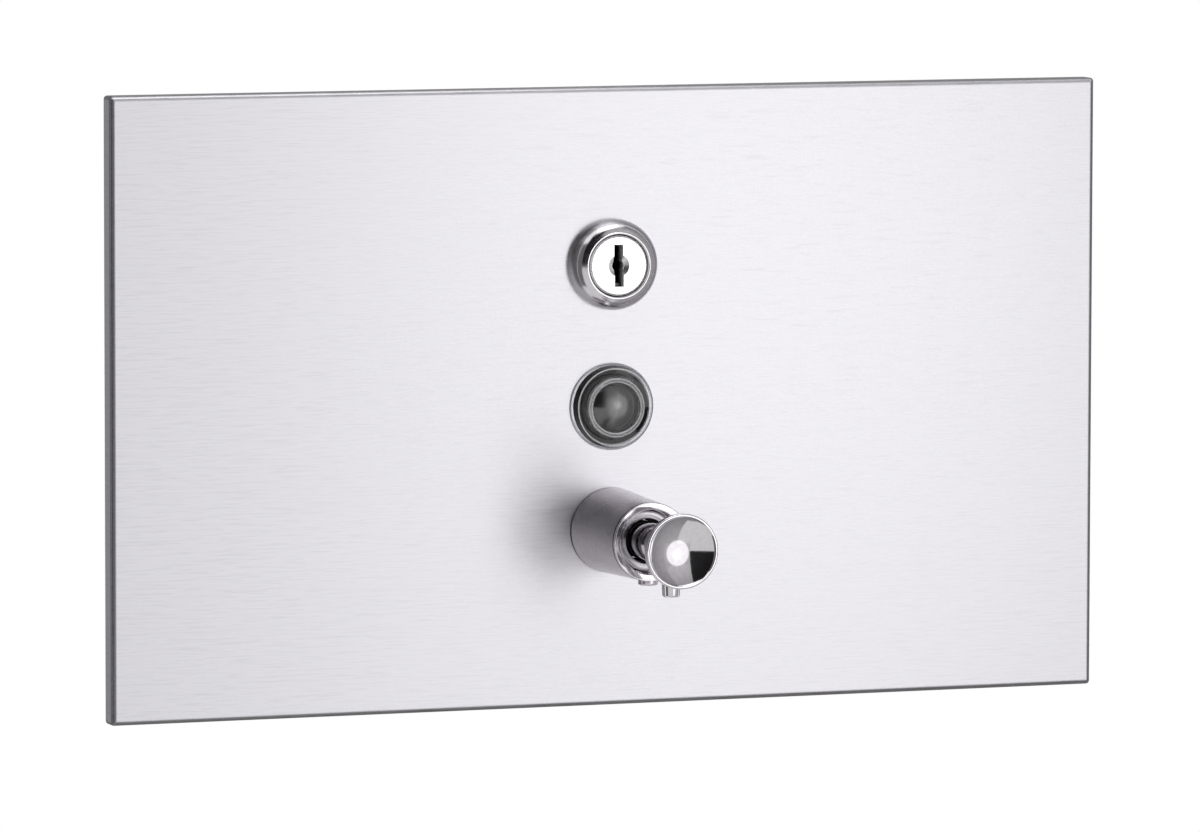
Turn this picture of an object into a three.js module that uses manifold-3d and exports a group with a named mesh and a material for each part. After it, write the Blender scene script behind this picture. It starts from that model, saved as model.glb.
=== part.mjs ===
// Recessed soap dispenser: a wall box with a brushed face panel that tips forward on a hinge along its
// bottom edge. The panel carries a key lock, a sight glass, a push valve and the soap tank behind it.
// Millimetres, +Z up, +Y into the wall. The origin is the centre of the wall opening, on the wall's surface.

import * as THREE from "three";
import { mergeVertices } from "three/addons/utils/BufferGeometryUtils.js";
import Module from "manifold-3d";

const wasm = await Module();
wasm.setup();

// Clearances that every fit uses
const runningGap = 0.3;
const cutOverrun = 2.0;

// Face plate: one sheet with its edges turned back towards the wall
const plateWidth = 266.7;
const lockBelowTop = 45.3;
const windowBelowLock = 36.5;
const valveBelowWindow = 31.8;
const valveAboveBottom = 45.2;
const plateSheet = 1.2;
const returnDepth = 5.5;
const bottomReturnDepth = 3.5;
const plateBend = 1.4;

// Wall box, its face frame and the screws that hold it
const frameSheet = 1.0;
const frameEdgeGap = 0.65;
const frameFlange = 11.0;
const boxSheet = 1.0;
const boxSideGap = 6.5;
const boxBackGap = 14.0;
const wallScrewRadius = 2.0;
const wallScrewHeadRadius = 3.6;
const wallScrewHeadHeight = 2.2;
const wallScrewLength = 24.0;
const wallScrewPoint = 5.0;
const wallScrewFromCorner = 22.0;
const crossRecessWidth = 1.1;
const crossRecessSpan = 4.0;
const crossRecessDepth = 1.3;

// Hinge along the bottom edge
const hingeLength = 250.0;
const knuckleRadius = 1.7;
const knuckleCount = 11;
const pinRadius = 1.0;
const pinClearance = 0.15;
const pinOverhang = 0.8;
const leafSheet = 0.8;
const leafRise = 7.5;
const leafLift = 2.2;
const openAngle = 40.0;

// Tank behind the plate
const tankSheet = 1.0;
const tankDepth = 80.6;
const tankSideGap = 4.0;
const tankBottomGap = 3.5;
const tankUnderLock = 1.4;
const tankFlange = 14.0;
const stopReach = 5.0;
const stopSheet = 1.5;
const stopLeg = 10.0;
const stopStart = 45.0;
const stopLength = 60.0;

// Studs and nuts of the tank's flange
const studRadius = 2.0;
const studTip = 0.5;
const studNutAcross = 7.0;
const studNutHeight = 2.2;
const studBelowTop = 12.0;
const studAboveBottom = 12.0;

// Filler neck and its quarter-turn cap
const neckRadius = 17.0;
const neckWall = 2.0;
const neckHeight = 9.0;
const neckFootWidth = 4.0;
const neckFootHeight = 1.2;
const neckFromFront = 50.0;
const neckPinRadius = 1.4;
const neckPinHeight = 5.2;
const capSkirt = 2.3;
const capTop = 2.0;
const capLift = 2.0;
const capGasketHeight = 0.8;
const capTurn = 90.0;
const capGripLength = 31.0;
const capGripWidth = 6.0;
const capGripHeight = 5.7;
const capVentRadius = 1.2;
const capVentOffset = 9.0;

// Key lock
const bezelRadius = 11.75;
const bezelStraight = 1.0;
const bezelHeight = 5.9;
const bezelLip = 0.5;
const lockBoreRadius = 8.05;
const lockBodyRadius = 9.5;
const lockBodyLength = 19.0;
const lockNutAcross = 22.0;
const lockNutHeight = 4.5;
const plugSetback = 0.2;
const plugBevel = 0.45;
const plugTail = 0.6;
const plugBossRadius = 5.5;
const plugBossLength = 2.2;
const plugSquare = 7.0;
const plugThreadRadius = 2.3;
const plugThreadDepth = 12.0;
const keyWidth = 2.4;
const keyHeight = 10.8;
const keyShift = 0.17;
const keyDepth = 14.0;
const dimpleRadius = 2.8;
const dimpleFloorRadius = 1.9;
const dimpleDepth = 0.9;
const keyBoreRadius = 1.6;
const keyBoreDepth = 8.0;
const camThickness = 2.0;
const camHubRadius = 8.0;
const camTipWidth = 12.0;
const camTopGap = 2.45;
const camScrewHeadRadius = 6.0;
const camScrewHeadHeight = 2.5;
const camScrewRadius = 2.0;
const strikeWidth = 30.0;
const strikeSheet = 1.5;
const strikeGrip = 5.05;
const strikeFoot = 12.0;

// Sight glass
const windowBaseRadius = 11.2;
const windowFrontRadius = 10.05;
const windowEdge = 0.6;
const windowShoulder = 3.1;
const windowRingRadius = 7.5;
const windowRingWidth = 1.0;
const windowRingProud = 1.2;
const windowLensProud = 0.7;
const windowShankRadius = 8.8;
const windowShankLength = 12.0;
const windowBoreRadius = 6.2;
const windowLensThickness = 3.3;
const windowNutAcross = 22.0;
const windowNutHeight = 5.0;
const windowGasketRadius = 12.5;
const gasketThickness = 1.5;

// Push valve: barrel and pump cylinder
const barrelLength = 30.7;
const barrelBaseRadius = 10.95;
const barrelMouthRadius = 9.85;
const barrelRim = 1.45;
const barrelRimRound = 0.6;
const mouthRecess = 4.7;
const sleeveRadius = 7.7;
const sleeveSetback = 3.2;
const sleeveWall = 1.6;
const glandSeatWall = 1.0;
const glandSetback = 2.5;
const glandLength = 3.5;
const springSeatDepth = 18.0;
const seatThickness = 3.0;
const inletSocketLength = 9.0;
const inletSocketWall = 1.3;
const inletHoleRadius = 0.65;
const inletHolePitch = 2.6;
const inletHoleCount = 4;
const inletStemRadius = 1.3;
const inletDiscRadius = 3.4;
const inletDiscThickness = 0.8;
const inletBeadRadius = 2.0;
const inletBeadLength = 1.0;
const pickupWall = 1.5;
const pickupStraight = 8.0;
const pickupBend = 9.0;
const pickupAboveFloor = 3.0;
const valveNutAcross = 25.0;
const valveNutHeight = 6.0;
const valveGasketRadius = 13.0;
const barrelScrewRadius = 1.2;
const barrelScrewHeadRadius = 2.5;
const barrelScrewHeadSunk = 0.5;
const barrelScrewProud = 1.3;
const barrelScrewFromMouth = 2.8;

// Push button: knob, plunger, spout and return spring
const pressTravel = 10.0;
const collarClearance = 1.0;
const knobRadius = 9.55;
const knobRim = 1.8;
const knobRimWidth = 0.7;
const knobDish = 3.0;
const knobConeLength = 4.2;
const neckCollarRadius = 5.5;
const neckCollarLength = 5.8;
const spigotRadius = 2.7;
const spigotLength = 6.0;
const stemRadius = 4.9;
const stemWaistRadius = 4.4;
const stopCollarLength = 2.0;
const pistonRadius = 5.8;
const pistonFrontLength = 1.5;
const sealLength = 2.0;
const sealSeatRadius = 3.6;
const pistonBackLength = 1.0;
const pistonBackRadius = 5.0;
const pistonBackPlace = 3.5;
const soapBoreRadius = 1.6;
const spoutSetback = 8.6;
const spoutTopRadius = 2.65;
const spoutEndRadius = 2.45;
const spoutBoreRadius = 1.3;
const spoutDrop = 12.3;
const springWire = 0.9;
const springRadius = 4.6;
const springCurls = 8;

// Facets of round forms
const fineSides = 36;
const plainSides = 24;
const smallSides = 12;
const knuckleSides = 12;
const bendSteps = 3;
const domeSteps = 5;
const springStepsPerCurl = 8;
const springSides = 5;
const pickupSteps = 14;
const pickupArcSteps = 6;
const slotArcSteps = 6;
const headSteps = 4;
const nutSides = 6;
const leafCount = 2;

// Places worked out from the sizes above
const half = 0.5;
const fullTurn = Math.PI * 2;
const halfTurn = Math.PI;
const quarterTurn = Math.PI / 2;
const halfTurnDegrees = 180;
const quarterDegrees = 90;
const degree = Math.PI / halfTurnDegrees;
const nutHalfSide = halfTurn / nutSides;
const axisCount = 3;
const triangleCornerCount = 3;
const plateHeight = lockBelowTop + windowBelowLock + valveBelowWindow + valveAboveBottom;
const plateHalfWidth = plateWidth * half;
const plateHalfHeight = plateHeight * half;
const lockZ = plateHalfHeight - lockBelowTop;
const windowZ = lockZ - windowBelowLock;
const valveZ = windowZ - valveBelowWindow;
const frameFrontY = -frameSheet;
const faceY = frameFrontY - runningGap - returnDepth;
const plateBackY = faceY + plateSheet;

const frameHalfWidth = plateHalfWidth - plateSheet - frameEdgeGap;
const frameHalfHeight = plateHalfHeight - plateSheet - frameEdgeGap;
const boxHalfWidth = frameHalfWidth - frameFlange;
const boxHalfHeight = frameHalfHeight - frameFlange;
const boxInnerHalfWidth = boxHalfWidth - boxSheet;
const boxInnerHalfHeight = boxHalfHeight - boxSheet;
const stopOuterX = boxInnerHalfWidth - boxSideGap;
const openingHalfWidth = stopOuterX - stopReach;
const tankHalfWidth = openingHalfWidth - tankSideGap;

const hingeY = (plateBackY + leafSheet + frameFrontY - leafSheet) * half;
const hingeZ = plateSheet + runningGap + knuckleRadius - plateHalfHeight;

const lockNutCorner = lockNutAcross * half / Math.cos(nutHalfSide);
const tankTopZ = lockZ - lockNutCorner - tankUnderLock;
const tankBottomZ = tankBottomGap - boxInnerHalfHeight;
const tankFrontY = plateBackY;
const tankBackY = tankFrontY + tankDepth;
const boxInnerBackY = tankBackY + boxBackGap;
const boxBackY = boxInnerBackY + boxSheet;
const flangeHalfWidth = tankHalfWidth + tankFlange;
const studX = tankHalfWidth + tankFlange * half;
const studTopZ = tankTopZ - studBelowTop;
const studBottomZ = tankBottomZ + studAboveBottom;

const camLength = boxInnerHalfHeight - camTopGap - lockZ;
const camFrontY = lockBodyLength + plugTail + plugBossLength;
const strikeBackY = faceY + camFrontY - runningGap;
const strikeBottomZ = boxInnerHalfHeight - camTopGap - strikeGrip;

const wallStack = plateSheet + tankSheet;
const capBottomRadius = neckRadius + runningGap;
const capRadius = capBottomRadius + capSkirt;

const barrelBore = sleeveRadius + runningGap;
const mouthBore = barrelMouthRadius - barrelRim;
const sleeveFrontY = sleeveSetback - barrelLength;
const cylinderBore = sleeveRadius - sleeveWall;
const glandSeatRadius = sleeveRadius - glandSeatWall;
const glandFrontY = sleeveFrontY + glandSetback;
const glandBackY = glandFrontY + glandLength;
const cylinderBackY = springSeatDepth + seatThickness + inletSocketLength;
const socketRadius = sleeveRadius - inletSocketWall;
const collarBackY = -(barrelLength + pressTravel + collarClearance);
const collarFrontY = collarBackY - neckCollarLength;
const knobFaceY = collarFrontY - knobConeLength - knobRim;
const spoutY = knobFaceY + spoutSetback;
const pistonBackY = -pistonBackPlace;

// Solids: a closed three.js geometry becomes a solid that can be joined and cut
function solid(geometry) {
  const bare = geometry.index ? geometry.toNonIndexed() : geometry.clone();
  bare.deleteAttribute("normal");
  bare.deleteAttribute("uv");
  const merged = mergeVertices(bare);
  const mesh = new wasm.Mesh({
    numProp: axisCount,
    vertProperties: new Float32Array(merged.attributes.position.array),
    triVerts: new Uint32Array(wholeTriangles(merged.index.array)),
  });
  return new wasm.Manifold(mesh);
}

// Triangles that keep three corners of their own: a turned form has flat ones on its axis
function wholeTriangles(corners) {
  const kept = [];
  for (let start = 0; start < corners.length; start += triangleCornerCount) {
    const [a, b, c] = corners.slice(start, start + triangleCornerCount);
    if (a !== b && b !== c && c !== a) {
      kept.push(a, b, c);
    }
  }
  return kept;
}

function geometryOf(body) {
  const mesh = body.getMesh();
  const geometry = new THREE.BufferGeometry();
  geometry.setAttribute("position", new THREE.Float32BufferAttribute(mesh.vertProperties, axisCount));
  geometry.setIndex(new THREE.Uint32BufferAttribute(mesh.triVerts, 1));
  geometry.computeVertexNormals();
  return geometry;
}

function cut(body, ...tools) {
  return tools.reduce((kept, tool) => kept.subtract(tool), body);
}

function join(...bodies) {
  return bodies.reduce((whole, body) => whole.add(body));
}

// A block between two corners
function block(x0, x1, y0, y1, z0, z1) {
  const geometry = new THREE.BoxGeometry(x1 - x0, y1 - y0, z1 - z0);
  geometry.translate((x0 + x1) * half, (y0 + y1) * half, (z0 + z1) * half);
  return solid(geometry);
}

// Turned forms: pairs of radius and place along the axis, which is Y, or Z where stated
function turned(pairs, sides = plainSides) {
  const points = pairs.map(([radius, along]) => new THREE.Vector2(radius, along));
  return solid(new THREE.LatheGeometry(points, sides));
}

function tube(inner, outer, start, end, sides = plainSides) {
  return turned([[inner, start], [outer, start], [outer, end], [inner, end], [inner, start]], sides);
}

function rod(radius, start, end, sides = smallSides) {
  return turned([[0, start], [radius, start], [radius, end], [0, end]], sides);
}

function upward(body) {
  return body.rotate([quarterDegrees, 0, 0]);
}

function downward(body) {
  return body.rotate([-quarterDegrees, 0, 0]);
}

function sideways(body) {
  return body.rotate([0, 0, -quarterDegrees]);
}

// Outlines drawn in X and Z and extruded along Y, from start to end
function extrudedY(shape, start, end) {
  const options = { depth: end - start, bevelEnabled: false };
  const geometry = new THREE.ExtrudeGeometry(shape, options);
  geometry.rotateX(quarterTurn);
  geometry.translate(0, end, 0);
  return solid(geometry);
}

// Outlines drawn in Y and Z and extruded along X, from start to end
function extrudedX(shape, start, end) {
  const options = { depth: end - start, bevelEnabled: false };
  const geometry = new THREE.ExtrudeGeometry(shape, options);
  const turn = [new THREE.Vector3(0, 1, 0), new THREE.Vector3(0, 0, 1), new THREE.Vector3(1, 0, 0)];
  geometry.applyMatrix4(new THREE.Matrix4().makeBasis(...turn));
  geometry.translate(start, 0, 0);
  return solid(geometry);
}

function outline(points) {
  return new THREE.Shape(points.map(([a, b]) => new THREE.Vector2(a, b)));
}

function hexagon(across) {
  const corner = across * half / Math.cos(nutHalfSide);
  const corners = Array.from({ length: nutSides }, (_, step) => step * fullTurn / nutSides);
  return outline(corners.map((angle) => [corner * Math.cos(angle), corner * Math.sin(angle)]));
}

// A hexagon nut along Y with its outer corners turned off
function nut(across, bore, start, end, sides = plainSides) {
  const corner = across * half / Math.cos(nutHalfSide);
  const chamfer = corner - across * half;
  const blank = extrudedY(hexagon(across), start, end);
  const turnedOff = turned([
    [0, start], [corner, start], [corner, end - chamfer * half], [across * half, end], [0, end],
  ], sides);
  return cut(blank.intersect(turnedOff), rod(bore, start - cutOverrun, end + cutOverrun, sides));
}

// Materials
const finishes = {
  brushedSteel: { color: 0xc9c8cc, roughness: 0.38, metalness: 1.0 },
  plainSteel: { color: 0xb9bbbe, roughness: 0.5, metalness: 1.0 },
  chrome: { color: 0xe4e5e8, roughness: 0.12, metalness: 1.0 },
  satinChrome: { color: 0xcfd0d3, roughness: 0.3, metalness: 1.0 },
  zincSteel: { color: 0xb4b3a8, roughness: 0.45, metalness: 1.0 },
  brightBrass: { color: 0xd8d6cc, roughness: 0.25, metalness: 1.0 },
  clearAcrylic: { color: 0x2b2b2e, roughness: 0.08, metalness: 0.0 },
  blackRubber: { color: 0x1d1d1f, roughness: 0.8, metalness: 0.0 },
  whiteAcetal: { color: 0xe8e6df, roughness: 0.5, metalness: 0.0 },
  greyPlastic: { color: 0x8d9094, roughness: 0.55, metalness: 0.0 },
};

function material(name) {
  return new THREE.MeshStandardMaterial({ name, ...finishes[name] });
}

function piece(parent, name, body, finish) {
  const mesh = new THREE.Mesh(geometryOf(body), material(finish));
  mesh.name = name;
  parent.add(mesh);
  return mesh;
}

function place(parent, x, y, z) {
  const group = new THREE.Group();
  group.position.set(x, y, z);
  parent.add(group);
  return group;
}

// Face plate: two channel profiles crossed, so that all four edges turn back with a small bend
function bentEdge(halfWidth, front, back) {
  const shape = new THREE.Shape();
  shape.moveTo(-halfWidth, back);
  shape.lineTo(-halfWidth, front + plateBend);
  shape.absarc(plateBend - halfWidth, front + plateBend, plateBend, -halfTurn, -quarterTurn, false);
  shape.absarc(halfWidth - plateBend, front + plateBend, plateBend, -quarterTurn, 0, false);
  shape.lineTo(halfWidth, back);
  return shape;
}

function facePlate() {
  const backY = faceY + returnDepth;
  const across = new THREE.ExtrudeGeometry(bentEdge(plateHalfWidth, faceY, backY), {
    depth: plateHeight, bevelEnabled: false, curveSegments: bendSteps,
  });
  across.translate(0, 0, -plateHalfHeight);
  const upDown = new THREE.ExtrudeGeometry(bentEdge(plateHalfHeight, faceY, backY), {
    depth: plateWidth, bevelEnabled: false, curveSegments: bendSteps,
  });
  const turn = [new THREE.Vector3(0, 0, -1), new THREE.Vector3(0, 1, 0), new THREE.Vector3(1, 0, 0)];
  upDown.applyMatrix4(new THREE.Matrix4().makeBasis(...turn));
  upDown.translate(-plateHalfWidth, 0, 0);
  const blank = solid(across).intersect(solid(upDown));
  const innerX = plateHalfWidth - plateSheet;
  const innerZ = plateHalfHeight - plateSheet;
  const inside = block(-innerX, innerX, plateBackY, backY + cutOverrun, -innerZ, innerZ);
  const bottomY = faceY + bottomReturnDepth;
  const lowCut = block(
    -innerX, innerX, bottomY, backY + cutOverrun, -plateHalfHeight - cutOverrun, -innerZ + plateSheet * half,
  );
  const lockHole = holeY(lockBodyRadius + runningGap, lockZ);
  const windowHole = holeY(windowShankRadius + runningGap, windowZ);
  const valveHole = holeY(sleeveRadius + runningGap, valveZ);
  return cut(blank, inside, lowCut, lockHole, windowHole, valveHole);
}

function holeY(radius, z, x = 0, sides = plainSides) {
  const hole = rod(radius, faceY - cutOverrun, tankFrontY + tankSheet + cutOverrun, sides);
  return hole.translate([x, 0, z]);
}

// Wall box: a folded tray that is open to the front
function wallBox() {
  const shell = block(-boxHalfWidth, boxHalfWidth, 0, boxBackY, -boxHalfHeight, boxHalfHeight);
  const room = block(
    -boxInnerHalfWidth, boxInnerHalfWidth, -cutOverrun, boxInnerBackY, -boxInnerHalfHeight, boxInnerHalfHeight,
  );
  return cut(shell, room);
}

const wallScrewX = boxHalfWidth + frameFlange * half;
const wallScrewZ = frameHalfHeight - wallScrewFromCorner;

// Face frame: the flange on the wall, with lips that narrow the box's mouth at the sides
function faceFrame() {
  const sheet = block(-frameHalfWidth, frameHalfWidth, frameFrontY, 0, -frameHalfHeight, frameHalfHeight);
  const mouth = block(
    -openingHalfWidth, openingHalfWidth, frameFrontY - cutOverrun, cutOverrun,
    -boxInnerHalfHeight, boxInnerHalfHeight,
  );
  const holes = cornersOf(wallScrewX, wallScrewZ).map(([x, z]) => {
    const hole = rod(wallScrewRadius + runningGap, frameFrontY - cutOverrun, cutOverrun);
    return hole.translate([x, 0, z]);
  });
  return cut(sheet, mouth, ...holes);
}

function cornersOf(x, z) {
  return [[-x, z], [x, z], [-x, -z], [x, -z]];
}

// Wall screw: pan head with a cross recess, on the frame's front
function wallScrew() {
  const headTop = frameFrontY - wallScrewHeadHeight;
  const head = Array.from({ length: headSteps }, (_, step) => {
    const angle = quarterTurn * step / headSteps;
    return [wallScrewHeadRadius * Math.sin(angle), frameFrontY - wallScrewHeadHeight * Math.cos(angle)];
  });
  const screw = turned([
    ...head, [wallScrewHeadRadius, frameFrontY], [wallScrewRadius, frameFrontY],
    [wallScrewRadius, wallScrewLength - wallScrewPoint], [0, wallScrewLength],
  ], smallSides);
  const reach = crossRecessSpan * half;
  const slim = crossRecessWidth * half;
  const floor = headTop + crossRecessDepth;
  const barX = block(-reach, reach, headTop - cutOverrun, floor, -slim, slim);
  const barZ = block(-slim, slim, headTop - cutOverrun, floor, -reach, reach);
  return cut(screw, barX, barZ);
}

// Hinge leaf: a strip of sheet with every other knuckle; side is -1 at the plate and 1 at the frame
function hingeLeaf(side, firstKnuckle) {
  const pitch = hingeLength / knuckleCount;
  const outerY = (frameFrontY - plateBackY) * half;
  const [low, high] = side < 0 ? [-outerY, leafSheet - outerY] : [outerY - leafSheet, outerY];
  const halfLength = hingeLength * half;
  let leaf = block(-halfLength, halfLength, low, high, leafLift, leafLift + leafRise);
  for (let index = firstKnuckle; index < knuckleCount; index += leafCount) {
    const start = index * pitch - halfLength + runningGap * half;
    const end = (index + 1) * pitch - halfLength - runningGap * half;
    const barrel = sideways(rod(knuckleRadius, start, end, knuckleSides));
    const neck = block(start, end, low, high, 0, leafLift + leafSheet);
    leaf = join(leaf, barrel, neck);
  }
  const bore = rod(pinRadius + pinClearance, -halfLength - cutOverrun, halfLength + cutOverrun, knuckleSides);
  return cut(leaf, sideways(bore));
}

function hingePin() {
  const reach = hingeLength * half + pinOverhang;
  return sideways(rod(pinRadius, -reach, reach, knuckleSides));
}

// Lock strike: an angle under the top of the box that hangs in front of the cam
function lockStrike() {
  const top = boxInnerHalfHeight;
  const profile = outline([
    [strikeBackY - strikeFoot, top], [strikeBackY - strikeFoot, top - strikeSheet],
    [strikeBackY - strikeSheet, top - strikeSheet], [strikeBackY - strikeSheet, strikeBottomZ],
    [strikeBackY, strikeBottomZ], [strikeBackY, top],
  ]);
  return extrudedX(profile, -strikeWidth * half, strikeWidth * half);
}

// Tank body: an open-topped tray whose front wall runs on as a flange at both sides
function tankBody() {
  const shell = block(-tankHalfWidth, tankHalfWidth, tankFrontY, tankBackY, tankBottomZ, tankTopZ - tankSheet);
  const flange = block(
    -flangeHalfWidth, flangeHalfWidth, tankFrontY, tankFrontY + tankSheet, tankBottomZ, tankTopZ - tankSheet,
  );
  const room = block(
    tankSheet - tankHalfWidth, tankHalfWidth - tankSheet, tankFrontY + tankSheet, tankBackY - tankSheet,
    tankBottomZ + tankSheet, tankTopZ + cutOverrun,
  );
  const holes = studPlaces().map(([x, z]) => holeY(studRadius + runningGap, z, x, smallSides));
  const windowHole = holeY(windowShankRadius + runningGap, windowZ);
  const valveHole = holeY(sleeveRadius + runningGap, valveZ);
  return cut(join(shell, flange), room, windowHole, valveHole, ...holes);
}

function studPlaces() {
  return [[-studX, studTopZ], [studX, studTopZ], [-studX, studBottomZ], [studX, studBottomZ]];
}

function tankCover() {
  const lid = block(-tankHalfWidth, tankHalfWidth, tankFrontY, tankBackY, tankTopZ - tankSheet, tankTopZ);
  const hole = upward(rod(neckRadius - neckWall, -cutOverrun, cutOverrun, plainSides));
  return cut(lid, hole.translate([0, tankFrontY + neckFromFront, tankTopZ]));
}

// Stop angle: runs along a line from the hinge that stands upright when the panel is fully open
function stopAngle(side) {
  const lead = hingeY - runningGap;
  const profile = outline([
    [tankHalfWidth, lead], [tankHalfWidth, lead - stopLeg],
    [tankHalfWidth + stopSheet, lead - stopLeg], [tankHalfWidth + stopSheet, lead - stopSheet],
    [stopOuterX, lead - stopSheet], [stopOuterX, lead],
  ]);
  const angle = extrudedY(profile, stopStart, stopStart + stopLength);
  const leaned = angle.rotate([quarterDegrees - openAngle, 0, 0]);
  return side > 0 ? leaned : leaned.mirror([1, 0, 0]);
}

function tankStud() {
  const end = plateBackY + tankSheet + studNutHeight + studTip;
  return turned([
    [0, plateBackY], [studRadius, plateBackY], [studRadius, end - studTip], [studRadius - studTip, end], [0, end],
  ], smallSides);
}

// Filler neck: a flanged tube with two pins for the cap's slots
function fillerNeck() {
  const bore = neckRadius - neckWall;
  const foot = neckRadius + neckFootWidth;
  const wall = upward(turned([
    [bore, 0], [foot, 0], [foot, neckFootHeight], [neckRadius, neckFootHeight],
    [neckRadius, neckHeight], [bore, neckHeight], [bore, 0],
  ]));
  const pinStart = neckRadius - neckWall * half;
  const pinEnd = neckRadius + capSkirt;
  const right = rod(neckPinRadius, pinStart, pinEnd);
  const left = rod(neckPinRadius, -pinEnd, -pinStart);
  const raised = [right, left].map((pin) => sideways(pin).translate([0, 0, neckPinHeight]));
  return join(wall, ...raised);
}

// Part of a ring between two angles, in degrees, from floor to roof
function sector(inner, outer, from, to, floor, roof) {
  const shape = new THREE.Shape();
  shape.absarc(0, 0, outer, from * degree, to * degree, false);
  shape.absarc(0, 0, inner, to * degree, from * degree, true);
  const options = { depth: roof - floor, bevelEnabled: false, curveSegments: slotArcSteps };
  const geometry = new THREE.ExtrudeGeometry(shape, options);
  geometry.translate(0, 0, floor);
  return solid(geometry);
}

// Filler cap: a skirt with two hooked slots, a flat top and a finger grip across it
function fillerCap() {
  const roof = neckHeight + capGasketHeight;
  const top = roof + capTop;
  const body = upward(turned([
    [0, roof], [capBottomRadius, roof], [capBottomRadius, capLift], [capRadius, capLift],
    [capRadius, top - capTop * half], [capRadius - capTop * half, top], [0, top],
  ]));
  const gripX = capGripLength * half;
  const gripY = capGripWidth * half;
  const grip = block(-gripX, gripX, -gripY, gripY, top - capTop * half, top + capGripHeight);
  const halfPin = neckPinRadius + runningGap;
  const spread = halfPin / capBottomRadius / degree;
  const slots = [0, halfTurnDegrees].flatMap((start) => [
    sector(
      neckRadius - neckWall, capRadius + cutOverrun, start - capTurn - spread, start + spread,
      neckPinHeight - halfPin, neckPinHeight + halfPin,
    ),
    sector(
      neckRadius - neckWall, capRadius + cutOverrun, start - capTurn - spread, start - capTurn + spread,
      capLift - cutOverrun, neckPinHeight,
    ),
  ]);
  const vent = upward(rod(capVentRadius, roof - cutOverrun, top + cutOverrun)).translate([0, capVentOffset, 0]);
  return cut(join(body, grip), vent, ...slots);
}

function capGasket() {
  return upward(tube(neckRadius - neckWall, neckRadius, neckHeight, neckHeight + capGasketHeight));
}

// Lock housing: domed bezel on the plate and a threaded body through it
function lockHousing() {
  const lip = lockBoreRadius + bezelLip;
  const dome = Array.from({ length: domeSteps + 1 }, (_, step) => {
    const angle = quarterTurn * step / domeSteps;
    const radius = lip + (bezelRadius - lip) * Math.sin(angle);
    return [radius, -bezelStraight - (bezelHeight - bezelStraight) * Math.cos(angle)];
  });
  return turned([
    [lockBoreRadius, -bezelHeight], ...dome, [bezelRadius, 0], [lockBodyRadius, 0],
    [lockBodyRadius, lockBodyLength], [lockBoreRadius, lockBodyLength], [lockBoreRadius, -bezelHeight],
  ], fineSides);
}

// Lock plug: dimpled face, key slot, and a square tail for the cam
function lockPlug() {
  const face = plugSetback - bezelHeight;
  const radius = lockBoreRadius - runningGap;
  const bodyEnd = lockBodyLength + plugTail;
  const bossEnd = bodyEnd + plugBossLength;
  const body = turned([
    [0, face + dimpleDepth], [dimpleFloorRadius, face + dimpleDepth], [dimpleRadius, face],
    [radius - plugBevel, face], [radius, face + plugBevel], [radius, bodyEnd],
    [plugBossRadius, bodyEnd], [plugBossRadius, bossEnd], [0, bossEnd],
  ], fineSides);
  const side = plugSquare * half;
  const tailEnd = bossEnd + camThickness - runningGap;
  const tail = block(-side, side, bossEnd - plugBossLength * half, tailEnd, -side, side);
  const thread = rod(plugThreadRadius, tailEnd - plugThreadDepth, tailEnd + cutOverrun);
  const w = keyWidth * half;
  const h = keyHeight * half;
  const key = extrudedY(outline([
    [-w - keyShift, h], [-w - keyShift, keyShift], [keyShift - w, -keyShift], [keyShift - w, -h],
    [w + keyShift, -h], [w + keyShift, -keyShift], [w - keyShift, keyShift], [w - keyShift, h],
  ]), face - cutOverrun, face + keyDepth);
  const bore = rod(keyBoreRadius, face - cutOverrun, face + keyBoreDepth);
  return cut(join(body, tail), thread, key, bore);
}

// Cam: lies to the side when the lock is open, and points up behind the strike when it is locked
function lockCam() {
  const start = camFrontY;
  const end = camFrontY + camThickness;
  const hub = rod(camHubRadius, start, end, plainSides);
  const arm = block(-camLength, 0, start, end, -camTipWidth * half, camTipWidth * half);
  const side = plugSquare * half + runningGap;
  const square = block(-side, side, start - cutOverrun, end + cutOverrun, -side, side);
  return cut(join(hub, arm), square);
}

function camScrew() {
  const seat = camFrontY + camThickness;
  const slot = camScrewHeadHeight * half;
  const screw = turned([
    [0, seat - plugThreadDepth * half], [camScrewRadius, seat - plugThreadDepth * half], [camScrewRadius, seat],
    [camScrewHeadRadius, seat], [camScrewHeadRadius, seat + camScrewHeadHeight], [0, seat + camScrewHeadHeight],
  ], smallSides);
  const reach = camScrewHeadRadius + cutOverrun;
  const top = seat + camScrewHeadHeight;
  return cut(screw, block(-reach, reach, top - slot, top + cutOverrun, -slot * half, slot * half));
}

// Sight glass: one clear moulding with a rounded rim, a raised ring, a lens and a hollow shank
function sightGlass() {
  const lensFront = -windowShoulder - windowLensProud;
  const ringFront = -windowShoulder - windowRingProud;
  const ringInner = windowRingRadius - windowRingWidth;
  return turned([
    [0, lensFront], [ringInner, lensFront], [ringInner, ringFront], [windowRingRadius, ringFront],
    [windowRingRadius, -windowShoulder], [windowFrontRadius - windowEdge, -windowShoulder],
    [windowFrontRadius, windowEdge - windowShoulder], [windowBaseRadius, -windowEdge],
    [windowBaseRadius, 0], [windowShankRadius, 0], [windowShankRadius, windowShankLength],
    [windowBoreRadius, windowShankLength], [windowBoreRadius, lensFront + windowLensThickness],
    [0, lensFront + windowLensThickness],
  ], fineSides);
}

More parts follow.
